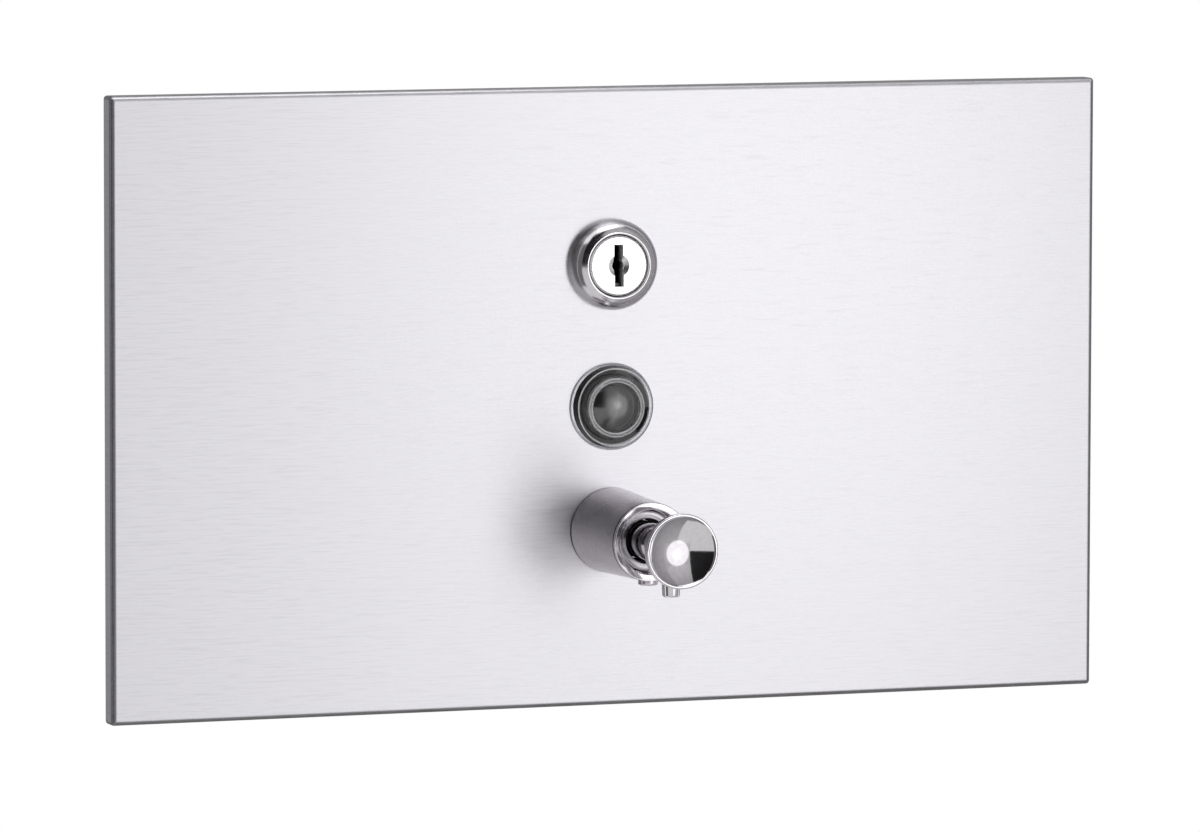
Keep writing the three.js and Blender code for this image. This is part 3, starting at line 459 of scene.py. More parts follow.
# Corner welds
# A run of small beads closes each of the box's four long corners. They are laid from the outside by hand,
# so each stands out a little and has a fine ripple of its own.
weld_radius = 0.9 * mm
weld_sink = 0.55 * mm
weld_beads = 26
bead_neck = 0.82
bead_sides = 8
weld_grey = (0.42, 0.42, 0.43, 1)
weld_rough = (0.35, 0.6)
weld_relief = 0.05 * mm
weld_grain = 900
weld_ripple = (2500, 1500, 2500)
turned_sides = 48
corner_x = box_high.x - weld_sink - weld_radius
corner_z = box_high.z - weld_sink - weld_radius
bead_start = box_low.y + box_bend
bead_end = box_high.y - box_bend
bead_length = (bead_end - bead_start) / weld_beads


def ring_about(axis, centre, radius_of, along, sides=turned_sides):
    """A ring of points about a line along X, Y or Z. radius_of is a radius, or gives one for each angle."""
    ring = []
    for step in range(sides):
        angle = step / sides * math.tau
        radius = radius_of(angle) if callable(radius_of) else radius_of
        first, second = radius * math.cos(angle), radius * math.sin(angle)
        if axis == "X":
            ring.append((along, centre[1] + first, centre[2] + second))
        elif axis == "Y":
            ring.append((centre[0] + first, along, centre[2] + second))
        else:
            ring.append((centre[0] + first, centre[1] + second, along))
    return ring


weld_bead, tree, shader = substance("weld_bead", weld_grey)
roughen(tree, shader, grain(tree, weld_grain), weld_rough)
emboss(tree, shader, grain(tree, weld_ripple), weld_relief)
for corner_name, (side, up) in {
    "left_top": (-1, 1), "right_top": (1, 1), "left_bottom": (-1, -1), "right_bottom": (1, -1),
}.items():
    spot_x = side * corner_x
    spot_z = up * corner_z
    rows = [[(spot_x, bead_start, spot_z)]]
    for step in range(weld_beads * 2 + 1):
        along = min(bead_start + (step + half) * bead_length * half, bead_end)
        swell = weld_radius * (1 if step % 2 else bead_neck)
        rows.append(ring_about("Y", (spot_x, 0, spot_z), swell, along, bead_sides))
    rows[-1] = [(spot_x, bead_end + weld_radius * half, spot_z)]
    bead = skin(f"box_weld_{corner_name}", rows)
    coat(bead, weld_bead)
    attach(bead, "base")

# Face frame and lock strike
# The frame is a flat ring of stainless sheet that lies on the wall, welded to the mouth of the box. The
# strike is a short angle under the box's top, which the lock's cam turns behind.
edge_ease = 0.18 * mm
edge_angle = math.radians(40)
merge_reach = 0.001 * mm
mill_dark = (0.50, 0.50, 0.51, 1)
mill_light = (0.66, 0.66, 0.67, 1)
mill_span = (0.5, 0.9)
mill_rough = (0.30, 0.46)
mill_relief = 0.01 * mm
mill_cloud = 22
line_share = 0.4
lines_along = (30, 900, 2200)


def bevel(piece, width, segments, angle):
    """Rounds the edges of a piece that are sharper than an angle."""
    eased_edges = piece.modifiers.new("eased_edges", "BEVEL")
    eased_edges.width = width
    eased_edges.segments = segments
    eased_edges.limit_method = "ANGLE"
    eased_edges.angle_limit = angle
    return eased_edges


def ease_edges(node, material):
    """Gives a carried-over node a finish, and takes the sharpness off its edges."""
    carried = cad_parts[node]
    coat(carried, material)
    joined = carried.modifiers.new("joined_faces", "WELD")
    joined.merge_threshold = merge_reach
    bevel(carried, edge_ease, 2, edge_angle).harden_normals = True


def mill_sheet(name, line_sizes):
    """Stainless sheet as it comes from the mill: grey, with rolling lines and a few dull clouds."""
    material, tree, shader = substance(name)
    lines = grain(tree, line_sizes, detail=some_detail)
    both = with_share(tree, lines, line_share, grain(tree, mill_cloud, detail=some_detail))
    tint(tree, shader, both, mill_dark, mill_light, mill_span)
    roughen(tree, shader, both, mill_rough, mill_span)
    emboss(tree, shader, lines, mill_relief)
    return material


mill_along = mill_sheet("mill_finish_along", lines_along)
ease_edges("face_frame", mill_along)
ease_edges("lock_strike", mill_along)

# Wall screws
# Four zinc-plated pan-head screws go through the frame's flange into the wall. Their heads have a cross
# recess, and their shanks a coarse thread that runs out at the point.
screw_count = 4
screw_core_share = 0.72
screw_pitch = 1.6 * mm
screw_point_share = 0.19
wall_shank = 2.0 * mm
neck_length = 0.4 * mm
thread_lead = 1.0 * mm
thread_taper = 2.0 * mm
tip_length = 1.2 * mm
pan_outline = ((0, 0), (0.5, 0.12 * mm), (0.8, 0.5 * mm), (0.96, 1.1 * mm))
pan_edge = 0.25 * mm
pan_foot_share = 0.97
thread_steps = 8
cross_width = 1.0 * mm
cross_reach = 2.0 * mm
cross_depth = 1.3 * mm
cross_taper_share = 0.45
cut_overrun = 1.0 * mm
plating_dull = (0.50, 0.50, 0.44, 1)
plating_bright = (0.70, 0.70, 0.69, 1)
plating_rough = (0.26, 0.44)
plating_patch = 260
plating_speck = 1800
plating_relief = 0.008 * mm


def turned_rows(profile, axis, centre, sides=turned_sides):
    """Rings for a turned outline of radius and place pairs. A radius of nought is a point on the axis."""
    rows = []
    for radius, along in profile:
        ring = ring_about(axis, centre, radius, along, sides)
        rows.append(ring[:1] if radius == 0 else ring)
    return rows


def turned(name, profile, axis, centre, sides=turned_sides):
    """A turned piece. Its outline runs from the axis to the axis, or closes on itself."""
    on_axis = profile[0][0] == 0
    return skin(name, turned_rows(profile, axis, centre, sides), along=not on_axis)


def thread(radius, core, pitch, start, end, axis, centre, sides=turned_sides, taper=0):
    """Rings of a screw thread from start to end, with its last part, taper long, run out to the core."""
    rows = []
    count = max(2, round(abs(end - start) / pitch * thread_steps))
    for step in range(count + 1):
        along = start + (end - start) * step / count
        left = abs(end - along)
        fade = min(1, step / thread_steps, left / taper if taper else (count - step) / thread_steps)

        def radius_at(angle, along=along, fade=fade):
            phase = (along / pitch - angle / math.tau) % 1
            return core + (radius - core) * fade * (1 - abs(phase * 2 - 1))

        rows.append(ring_about(axis, centre, radius_at, along, sides))
    return rows


def eased(corners, steps=4):
    """A turned outline with round corners. Each corner is its radius, its place and its own rounding."""
    points = []
    for index, (radius, along, ease) in enumerate(corners):
        here = Vector((radius, along))
        if not ease:
            points.append((radius, along))
            continue
        back = (Vector(corners[index - 1][:2]) - here).normalized()
        onward = (Vector(corners[(index + 1) % len(corners)][:2]) - here).normalized()
        opening = back.angle(onward) * half
        centre = here + (back + onward).normalized() * (ease / math.sin(opening))
        start = here + back * (ease / math.tan(opening)) - centre
        end = here + onward * (ease / math.tan(opening)) - centre
        first = math.atan2(start.y, start.x)
        turn = (math.atan2(end.y, end.x) - first + math.pi) % math.tau - math.pi
        for step in range(steps + 1):
            angle = first + turn * step / steps
            points.append((centre.x + ease * math.cos(angle), centre.y + ease * math.sin(angle)))
    return points


def carve(piece, tools, way="DIFFERENCE"):
    """Cuts tools out of a piece, or joins them to it, and throws the tools away."""
    for tool in tools:
        step = piece.modifiers.new("carve", "BOOLEAN")
        step.operation = way
        step.solver = "EXACT"
        step.object = tool
    shaped = bpy.data.meshes.new_from_object(piece.evaluated_get(bpy.context.evaluated_depsgraph_get()))
    piece.modifiers.clear()
    piece.data = shaped
    shaped.shade_smooth()
    shaped.set_sharp_from_angle(angle=smooth_angle)
    for tool in tools:
        bpy.data.objects.remove(tool)


def block(name, low, high):
    """A plain block between two corners, for cutting with or adding."""
    rows = []
    for z in (low[2], high[2]):
        rows.append([(low[0], low[1], z), (high[0], low[1], z), (high[0], high[1], z), (low[0], high[1], z)])
    return skin(name, rows, capped=True)


zinc_plate, tree, shader = substance("zinc_plate")
patches = grain(tree, plating_patch, detail=much_detail)
tint(tree, shader, patches, plating_dull, plating_bright)
roughen(tree, shader, patches, plating_rough)
emboss(tree, shader, grain(tree, plating_speck), plating_relief)

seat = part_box("face_frame")[0].y
core = wall_shank * screw_core_share
for index in range(1, screw_count + 1):
    low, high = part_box(f"wall_screw_{index}")
    centre = (low + high) * half
    head_radius = (high.x - low.x) * half
    point_start = high.y - (high.y - low.y) * screw_point_share
    head = [(head_radius * share, low.y + deep) for share, deep in pan_outline]
    head += [(head_radius, seat - pan_edge), (head_radius * pan_foot_share, seat), (wall_shank, seat)]
    head.append((core, seat + neck_length))
    rows = turned_rows(head, "Y", centre)
    rows += thread(
        wall_shank, core, screw_pitch, seat + thread_lead, point_start, "Y", centre, taper=thread_taper,
    )
    rows += turned_rows([(core * half, high.y - tip_length), (0, high.y)], "Y", centre)
    screw = skin(f"pan_head_screw_{index}", rows)
    tools = []
    for wide, tall in ((cross_reach, cross_width * half), (cross_width * half, cross_reach)):
        slot_rows = []
        for deep, share in ((-cut_overrun, 1), (cross_depth, 1 - cross_taper_share)):
            reach_x = wide * (share if wide > tall else 1)
            reach_z = tall * (share if tall > wide else 1)
            slot_rows.append(upright(
                centre.x - reach_x, centre.x + reach_x, centre.z - reach_z, centre.z + reach_z, low.y + deep,
            ))
        tools.append(skin("cross_slot", slot_rows, capped=True))
    carve(screw, tools)
    coat(screw, zinc_plate)
    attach(screw, "base")
    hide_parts(f"wall_screw_{index}")

# Hinge
# A long piano hinge of thin stainless strip along the bottom edge. Each leaf is curled into every other
# knuckle round one pin; the lower leaf is welded to the face frame and the other to the plate.
leaf_sheet = 0.8 * mm
knuckle_count = 11
knuckle_gap = 0.3 * mm
knuckle_radius = 1.7 * mm
knuckle_bore = 1.12 * mm
knuckle_ease = 0.12 * mm
curl_steps = 20
strip_gap = 0.5 * mm
strip_overlap = 0.15 * mm
strip_ease = 0.08 * mm
strip_angle = math.radians(60)
pin_ease = 0.3 * mm
wire_grey = (0.62, 0.62, 0.62, 1)
wire_rough = (0.2, 0.4)
wire_lines = (40, 3000, 3000)
pin_low, pin_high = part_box("hinge_pin")
hinge_y = (pin_low.y + pin_high.y) * half
hinge_z = (pin_low.z + pin_high.z) * half
hinge_spot = (0, hinge_y, hinge_z)


def knuckle(name, start, end):
    """One curl of the strip round the pin."""
    return turned(name, eased([
        (knuckle_bore, start, 0), (knuckle_radius, start, knuckle_ease),
        (knuckle_radius, end, knuckle_ease), (knuckle_bore, end, 0),
    ]), "X", hinge_spot, sides=curl_steps)


for leaf_node, body, first in (("hinge_leaf_fixed", "base", 0), ("hinge_leaf_moving", "panel", 1)):
    low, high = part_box(leaf_node)
    strip_low = high.y - leaf_sheet if body == "base" else low.y
    strip_high = strip_low + leaf_sheet
    pitch = (high.x - low.x) / knuckle_count
    strip_foot = hinge_z + knuckle_radius + strip_gap
    strip = block(f"{leaf_node}_strip", (low.x, strip_low, strip_foot), (high.x, strip_high, high.z))
    tools = []
    for index in range(first, knuckle_count, 2):
        start = low.x + index * pitch + knuckle_gap * half
        end = start + pitch - knuckle_gap
        root_low = (start, strip_low, hinge_z + knuckle_bore)
        root_high = (end, strip_high, strip_foot + strip_overlap)
        tools.append(knuckle("curl", start, end))
        tools.append(block("curl_root", root_low, root_high))
    carve(strip, tools, way="UNION")
    bevel(strip, strip_ease, 1, strip_angle)
    coat(strip, mill_along)
    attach(strip, body)
    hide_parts(leaf_node)

pin_radius = (pin_high.z - pin_low.z) * half
pin_wire, tree, shader = substance("drawn_pin_wire", wire_grey)
roughen(tree, shader, grain(tree, wire_lines), wire_rough)
hinge_pin = turned("hinge_pin_wire", eased([
    (0, pin_low.x, 0), (pin_radius, pin_low.x, pin_ease), (pin_radius, pin_high.x, pin_ease),
    (0, pin_high.x, 0),
]), "X", hinge_spot, sides=curl_steps)
coat(hinge_pin, pin_wire)
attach(hinge_pin, "base")
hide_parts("hinge_pin")

# Face plate
# One sheet of stainless steel, brushed from end to end, with all four edges turned back towards the wall.
# The bottom edge is turned back less, to leave room for the hinge. Lock, window and valve pass through it.
plate_sheet = 1.2 * mm
plate_bend = 1.4 * mm
plate_corner = 0.9 * mm
bottom_return = 3.5 * mm
lock_hole = 9.8 * mm
window_hole = 9.1 * mm
valve_hole = 8.0 * mm
steel_dark = (0.585, 0.58, 0.605, 1)
steel_light = (0.68, 0.675, 0.705, 1)
bend_shade_dark = (0.27, 0.265, 0.28, 1)
bend_shade_light = (0.36, 0.355, 0.375, 1)
bend_facing = 0.2
return_facing = 0.97
brush_stretch = 0.75
across_brush = 0.25
brush_along = 170
brush_fine = 5200
brush_broad = 1500
brush_share = 0.9
brush_span = (0.68, 1.22)
brush_rough = (0.29, 0.36)
brush_cut = 0.0014 * mm
face_across = (0.01, 1)
bend_across = (1, 1)
lock_low, lock_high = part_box("lock_housing")
lock_z = (lock_low.z + lock_high.z) * half
window_low, window_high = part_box("sight_glass")
window_z = (window_low.z + window_high.z) * half
barrel_low, barrel_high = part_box("valve_barrel")
valve_z = (barrel_low.z + barrel_high.z) * half


def brushed_sheet(name, dark, light, across):
    """Stainless sheet brushed along X. across says how fast the lines change along Y and along Z."""
    material, tree, shader = substance(name)
    fine = (brush_along, across[0] * brush_fine, across[1] * brush_fine)
    broad = (brush_along * half, across[0] * brush_broad, across[1] * brush_broad)
    both = with_share(tree, grain(tree, fine, detail=little_detail), brush_share, grain(tree, broad))
    tint(tree, shader, both, dark, light, brush_span)
    roughen(tree, shader, both, brush_rough, brush_span)
    shader.inputs["Anisotropic"].default_value = brush_stretch
    shader.inputs["Anisotropic Rotation"].default_value = across_brush
    emboss(tree, shader, both, brush_cut)
    return material


def rod(name, radius, start, end, axis, centre, sides=turned_sides):
    """A plain round rod, for cutting a hole."""
    return turned(name, [(0, start), (radius, start), (radius, end), (0, end)], axis, centre, sides)


brushed_face = brushed_sheet("brushed_face", steel_dark, steel_light, face_across)
painted_shade_bend = brushed_sheet("painted_shade_bend", bend_shade_dark, bend_shade_light, bend_across)
face_plate = folded_tray(
    "brushed_face_plate", plate_high.x, plate_high.z, plate_high.y - plate_low.y, plate_sheet, plate_bend,
    plate_corner, lambda across, up, deep: (across, plate_high.y - deep, up),
)
inner_x = plate_high.x - plate_sheet
inner_z = plate_high.z - plate_sheet
hole_start = face_y - cut_overrun
hole_end = face_y + plate_sheet + cut_overrun
tools = [block(
    "short_return", (-inner_x, face_y + bottom_return, -plate_high.z - cut_overrun),
    (inner_x, plate_high.y + cut_overrun, -inner_z + plate_sheet * half),
)]
for radius, z in ((lock_hole, lock_z), (window_hole, window_z), (valve_hole, valve_z)):
    tools.append(rod("plate_hole", radius, hole_start, hole_end, "Y", (0, 0, z)))
carve(face_plate, tools)
coat(face_plate, brushed_face, painted_shade_bend)
# The bends at the sides and the bottom, not the top, get a darker copy of the brushed steel: painted shade
# where they turn away from the light.
for face in face_plate.data.polygons:
    turned_away = max(abs(face.normal.x), -face.normal.z)
    outside = math.hypot(face.center.x, face.center.z) > inner_z * half
    if bend_facing < turned_away < return_facing and outside:
        face.material_index = 1
settle(face_plate)
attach(face_plate, "panel")
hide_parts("face_plate")

# Soap tank
# A folded and welded tank of plain stainless sheet. Its front lies on the back of the plate and runs on at
# both sides as a flange. A flat cover closes its top, and two angles at its sides stop the open panel.
tank_sheet = 1.0 * mm
tank_bend = 2.5 * mm
tank_corner = 2.0 * mm
stud_hole = 2.3 * mm
stud_count = 4
lines_across = lines_along[::-1]
tank_low, tank_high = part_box("tank_body")
cover_low, cover_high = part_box("tank_cover")
tank_middle_y = (tank_low.y + tank_high.y) * half
mill_across = mill_sheet("mill_finish_across", lines_across)

tank = folded_tray(
    "folded_tank", cover_high.x, (tank_high.y - tank_low.y) * half, tank_high.z - tank_low.z, tank_sheet,
    tank_bend, tank_corner,
    lambda across, up, deep: (across, tank_middle_y + up, tank_high.z - deep),
)
flange = block(
    "tank_flange", (tank_low.x, tank_low.y, tank_low.z), (tank_high.x, tank_low.y + tank_sheet, tank_high.z),
)
carve(tank, [flange], way="UNION")
stud_boxes = [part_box(f"tank_stud_{index}") for index in range(1, stud_count + 1)]
holes = [(window_hole, (0, 0, window_z)), (valve_hole, (0, 0, valve_z))]
for low, high in stud_boxes:
    holes.append((stud_hole, ((low.x + high.x) * half, 0, (low.z + high.z) * half)))
hole_start = tank_low.y - cut_overrun
hole_end = tank_low.y + tank_sheet + cut_overrun
carve(tank, [rod("tank_hole", radius, hole_start, hole_end, "Y", place) for radius, place in holes])
coat(tank, mill_across)
settle(tank)
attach(tank, "panel")
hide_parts("tank_body")
ease_edges("tank_cover", mill_across)
ease_edges("stop_angle_left", mill_along)
ease_edges("stop_angle_right", mill_along)

# Cover weld
# A weld of the same small beads runs right round the tank's top edge, where the cover meets it, and makes
# the tank tight.
seam_radius = 0.55 * mm
seam_step = 2.2 * mm
seam_inset = 0.35 * mm
seam_neck = 0.8
seam_x = cover_high.x - seam_inset
seam_y = (cover_high.y - cover_low.y) * half - seam_inset
corners = [(seam_x, seam_y), (-seam_x, seam_y), (-seam_x, -seam_y), (seam_x, -seam_y)]
seam_rows = []
for index, (x, y) in enumerate(corners):
    next_x, next_y = corners[(index + 1) % len(corners)]
    count = round(math.hypot(next_x - x, next_y - y) / seam_step)
    out = Vector((x + next_x, y + next_y, 0)).normalized()
    for step in range(1, count):
        share = step / count
        swell = seam_radius * (1 if step % 2 else seam_neck)
        middle = Vector((x + (next_x - x) * share, tank_middle_y + y + (next_y - y) * share, cover_low.z))
        seam_rows.append([
            middle + out * swell * math.cos(turn / bead_sides * math.tau)
            + Vector((0, 0, swell * math.sin(turn / bead_sides * math.tau)))
            for turn in range(bead_sides)
        ])
cover_seam = skin("cover_seam", seam_rows, along=True)
coat(cover_seam, weld_bead)
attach(cover_seam, "panel")

# Tank studs and nuts
# Four studs are welded to the back of the plate. They pass through the tank's flange, and a small hexagon
# nut holds each.
stud_sides = 24
stud_pitch = 0.7 * mm
stud_core_share = 0.86
stud_end_share = 0.7
stud_root = 0.3 * mm
stud_lead = 0.5 * mm
stud_tip = 0.5 * mm
nut_play = 0.3 * mm
nut_angles = 96
nut_chamfer = 0.3
nut_face_share = 0.97
nut_slope = math.radians(30)
flat_turn = math.pi / 3


def hex_nut(name, across, bore, start, end, centre):
    """A hexagon nut along Y: flats, turned-off corners at both ends, and a bore with eased edges."""
    flat = across * half
    corner = flat / math.cos(flat_turn * half)
    ease = (corner - flat) * nut_chamfer
    face_radius = flat * nut_face_share
    low_edge = []
    high_edge = []
    for step in range(nut_angles):
        angle = step / nut_angles * math.tau
        lean = angle % flat_turn - flat_turn * half
        radius = flat / math.cos(lean)
        drop = (radius - face_radius) * math.tan(nut_slope)
        x = centre[0] + radius * math.cos(angle)
        z = centre[2] + radius * math.sin(angle)
        low_edge.append((x, start + drop, z))
        high_edge.append((x, end - drop, z))
    inside = turned_rows([
        (bore, end - ease), (bore, start + ease), (bore + ease, start), (face_radius, start),
    ], "Y", centre, nut_angles)
    back = turned_rows([(face_radius, end), (bore + ease, end)], "Y", centre, nut_angles)
    return skin(name, inside + [low_edge, high_edge] + back, along=True)


for index, (low, high) in enumerate(stud_boxes, start=1):
    centre = (low + high) * half
    radius = (high.x - low.x) * half
    core = radius * stud_core_share
    rows = turned_rows([(0, low.y), (core, low.y), (core, low.y + stud_root)], "Y", centre, stud_sides)
    rows += thread(
        radius, core, stud_pitch, low.y + stud_lead, high.y - stud_tip, "Y", centre, sides=stud_sides,
    )
    rows += turned_rows([(radius * stud_end_share, high.y), (0, high.y)], "Y", centre, stud_sides)
    stud = skin(f"welded_stud_{index}", rows)
    coat(stud, zinc_plate)
    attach(stud, "panel")
    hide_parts(f"tank_stud_{index}")
    nut_low, nut_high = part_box(f"tank_nut_{index}")
    flange_nut = hex_nut(
        f"flange_nut_{index}", nut_high.z - nut_low.z, radius + nut_play, nut_low.y, nut_high.y, centre,
    )
    coat(flange_nut, zinc_plate)
    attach(flange_nut, "panel")
    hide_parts(f"tank_nut_{index}")

# Filler neck
# A short flanged tube of stainless steel, welded over the hole in the tank's cover. Two pins stand out of
# its wall for the slots of the cap.
neck_sides = 72
neck_radius = 17.0 * mm
neck_wall = 2.0 * mm
neck_foot_height = 1.2 * mm
neck_foot_edge = 0.2 * mm
neck_foot_round = 0.4 * mm
neck_root_round = 0.8 * mm
neck_lip_round = 0.6 * mm
neck_pin_sides = 24
neck_pin_radius = 1.4 * mm
neck_pin_height = 5.2 * mm
neck_pin_reach = 19.3 * mm
neck_pin_round = 0.25 * mm
neck_bore = neck_radius - neck_wall
turned_grey = (0.66, 0.66, 0.67, 1)
turned_rough = (0.2, 0.38)
turned_lines = (60, 60, 3600)
turned_relief = 0.006 * mm
neck_low, neck_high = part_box("filler_neck")
neck_centre = ((neck_low.x + neck_high.x) * half, (neck_low.y + neck_high.y) * half, 0)
neck_foot = (neck_high.y - neck_low.y) * half
foot_top = neck_low.z + neck_foot_height
pin_z = neck_low.z + neck_pin_height

turned_steel, tree, shader = substance("turned_steel", turned_grey)
rings = grain(tree, turned_lines, detail=little_detail)
roughen(tree, shader, rings, turned_rough)
emboss(tree, shader, rings, turned_relief)
neck = turned("filler_neck_tube", eased([
    (neck_bore, neck_low.z, 0), (neck_foot, neck_low.z, neck_foot_edge),
    (neck_foot, foot_top, neck_foot_round), (neck_radius, foot_top, neck_root_round),
    (neck_radius, neck_high.z, neck_lip_round), (neck_bore, neck_high.z, neck_lip_round),
]), "Z", neck_centre, neck_sides)
pins = []
for side in (-1, 1):
    start = side * (neck_bore + neck_wall * half)
    end = side * neck_pin_reach
    pins.append(turned("bayonet_pin", eased([
        (0, start, 0), (neck_pin_radius, start, 0), (neck_pin_radius, end, neck_pin_round), (0, end, 0),
    ]), "X", (0, neck_centre[1], pin_z), neck_pin_sides))
carve(neck, pins, way="UNION")
coat(neck, turned_steel)
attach(neck, "panel")
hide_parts("filler_neck")

# Lock
# A cam lock in a chromed housing. Its domed bezel lies on the plate, and a flat hexagon nut on the threaded
# body clamps it from behind.
bezel_straight = 0.9 * mm
bezel_lip = 0.5 * mm
bezel_foot_round = 0.1 * mm
lip_inside = ((0, 0.25 * mm), (0.08 * mm, 0.05 * mm), (0.18 * mm, 0))
lip_outside = ((-0.05 * mm, 0), (0.05 * mm, 0.08 * mm))
dome_steps = 14
dome_start = math.radians(13)
dome_clear = 0.08 * mm
dome_drop = 0.1 * mm
lock_bore = 8.05 * mm
lock_body = 9.5 * mm
lock_thread_core = 9.0 * mm
lock_pitch = 1.5 * mm
lock_thread_gap = 0.4 * mm
lock_end_ease = 0.2 * mm
lock_nut_across = 22.0 * mm
lock_sides = 96
lock_spot = (0, 0, lock_z)
bezel_radius = (lock_high.x - lock_low.x) * half
bezel_height = face_y - lock_low.y
chrome_dark = (0.74, 0.72, 0.75, 1)
chrome_light = (0.83, 0.81, 0.84, 1)
hair_stretch = 0.2
hair_bend = 0.4
peel_size = 420
peel_relief = 0.004 * mm
polish_rough = (0.05, 0.12)
polish_hair = 900
cast_rough = (0.13, 0.2)
cast_hair = 700
key_way_shade_dark = (0.012, 0.012, 0.012, 1)
key_way_painted_light = (0.95, 0.94, 0.95, 1)
key_way_shade_span = (0, 0.42)
key_way_lit_depth = 0.3 * mm
key_way_dark_depth = 4.4 * mm
key_way_smudge = 900
key_way_rough = 0.5
key_way_metallic = 0.3
bore_margin = 0.01 * mm


def bright_chrome(name, reach, fine):
    """Polished chrome plate: nearly a mirror, with faint hair scratches and a little orange peel."""
    material, tree, shader = substance(name)
    hair = grain(tree, (fine, fine * hair_stretch, fine), detail=some_detail, distortion=hair_bend)
    roughen(tree, shader, hair, reach)
    tint(tree, shader, hair, chrome_dark, chrome_light)
    emboss(tree, shader, grain(tree, peel_size, detail=least_detail), peel_relief)
    return material


polished = bright_chrome("polished_chrome", polish_rough, polish_hair)
cast_chrome = bright_chrome("cast_chrome", cast_rough, cast_hair)
# The key way's colour is painted light and shade: light walls near the housing's front fading to dark deeper
# in, broken up by a smudge noise.
key_way_shading, tree, shader = substance("painted_shade_key_way", metallic=key_way_metallic)
shader.inputs["Roughness"].default_value = key_way_rough
where = add(tree, "ShaderNodeTexCoord").outputs["Object"]
depth = add(tree, "ShaderNodeSeparateXYZ", Vector=where).outputs["Y"]
near = spread(tree, depth, full_span[::-1], (lock_low.y + key_way_lit_depth, lock_low.y + key_way_dark_depth))
smudge = grain(tree, key_way_smudge)
shade = add(tree, "ShaderNodeMath", {"operation": "MULTIPLY"}, i0=near, i1=smudge).outputs[0]
tint(tree, shader, shade, key_way_shade_dark, key_way_painted_light, key_way_shade_span)

lip_radius = lock_bore + bezel_lip
dome_wide = (bezel_radius - lip_radius - dome_clear) / (1 - math.sin(dome_start))
dome_tall = (bezel_height - bezel_straight - dome_drop) / math.cos(dome_start)
outline = [(lock_bore + out, lock_low.y + deep) for out, deep in lip_inside]
outline += [(lip_radius + out, lock_low.y + deep) for out, deep in lip_outside]
for step in range(dome_steps + 1):
    angle = dome_start + (math.pi * half - dome_start) * step / dome_steps
    outline.append((
        bezel_radius - dome_wide * (1 - math.sin(angle)),
        face_y - bezel_straight - dome_tall * math.cos(angle),
    ))
outline += [(bezel_radius, face_y - bezel_foot_round), (bezel_radius - bezel_foot_round, face_y)]
outline += [(lock_thread_core, face_y), (lock_thread_core, face_y + plate_sheet)]
rows = turned_rows(outline, "Y", lock_spot, lock_sides)
rows += thread(
    lock_body, lock_thread_core, lock_pitch, face_y + plate_sheet, lock_high.y - lock_thread_gap, "Y",
    lock_spot, lock_sides,
)
rows += turned_rows([
    (lock_thread_core, lock_high.y - lock_end_ease), (lock_thread_core - lock_end_ease, lock_high.y),
    (lock_bore, lock_high.y),
], "Y", lock_spot, lock_sides)
housing = skin("domed_lock_housing", rows, along=True)
coat(housing, cast_chrome, key_way_shading)
# The housing's bore gets the key way's painted shade, darker deeper in.
for face in housing.data.polygons:
    if math.hypot(face.center.x, face.center.z - lock_z) < lock_bore + bore_margin:
        face.material_index = 1
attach(housing, "panel")
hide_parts("lock_housing")

nut_low, nut_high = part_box("lock_nut")
lock_nut = hex_nut(
    "lock_ring_nut", lock_nut_across, lock_body + nut_play, nut_low.y, nut_high.y, lock_spot,
)
coat(lock_nut, zinc_plate)
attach(lock_nut, "panel")
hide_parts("lock_nut")

# Lock plug
# The part that the key turns: a satin nickel face with a bevelled rim, a shallow countersink at its middle
# and the key's slot across it, with sprung wafers inside.
plug_radius = 7.75 * mm
plug_bevel = 0.45 * mm
plug_body_end = 12.8 * mm
plug_boss = 5.5 * mm
plug_boss_end = 15.0 * mm
tail_side = 3.5 * mm
tail_overlap = 1.0 * mm
tail_hole = 2.3 * mm
tail_hole_depth = 12.0 * mm
sink_radius = 2.8 * mm
sink_floor = 1.65 * mm
sink_depth = 0.9 * mm
key_width = 2.4 * mm
key_height = 10.8 * mm
key_shift = 0.17 * mm
key_depth = 14.0 * mm
key_margin = 0.1 * mm
key_bore = 1.6 * mm
key_bore_depth = 8.0 * mm
wafer_count = 5
wafer_start = 2.2 * mm
wafer_pitch = 2.3 * mm
wafer_sheet = 0.5 * mm
wafer_reach = 0.8 * mm
wafer_bury = 0.2 * mm
wafer_overlap = 0.1 * mm
nickel_dark = (0.80, 0.79, 0.80, 1)
nickel_light = (0.92, 0.91, 0.92, 1)
nickel_rough = (0.2, 0.34)
nickel_grain = 1500
nickel_relief = 0.003 * mm
brass_in_painted_shade = (0.10, 0.095, 0.09, 1)
brass_rough = (0.22, 0.42)
brass_grain = 2000
plug_low, plug_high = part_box("lock_plug")
plug_face = plug_low.y

nickel, tree, shader = substance("satin_nickel_face")
matt = grain(tree, nickel_grain)
roughen(tree, shader, matt, nickel_rough)
tint(tree, shader, matt, nickel_dark, nickel_light)
emboss(tree, shader, matt, nickel_relief)
plug = turned("lock_plug_face", [
    (0, plug_face + sink_depth), (sink_floor, plug_face + sink_depth), (sink_radius, plug_face),
    (plug_radius - plug_bevel, plug_face), (plug_radius, plug_face + plug_bevel),
    (plug_radius, plug_body_end), (plug_boss, plug_body_end), (plug_boss, plug_boss_end), (0, plug_boss_end),
], "Y", lock_spot, lock_sides)
carve(plug, [block(
    "plug_tail", (-tail_side, plug_boss_end - tail_overlap, lock_z - tail_side),
    (tail_side, plug_high.y, lock_z + tail_side),
)], way="UNION")
slot_corners = (
    (-1, -1, 1), (-1, -1, 0), (-1, 1, 0), (-1, 1, -1), (1, 1, -1), (1, 1, 0), (1, -1, 0), (1, -1, 1),
)
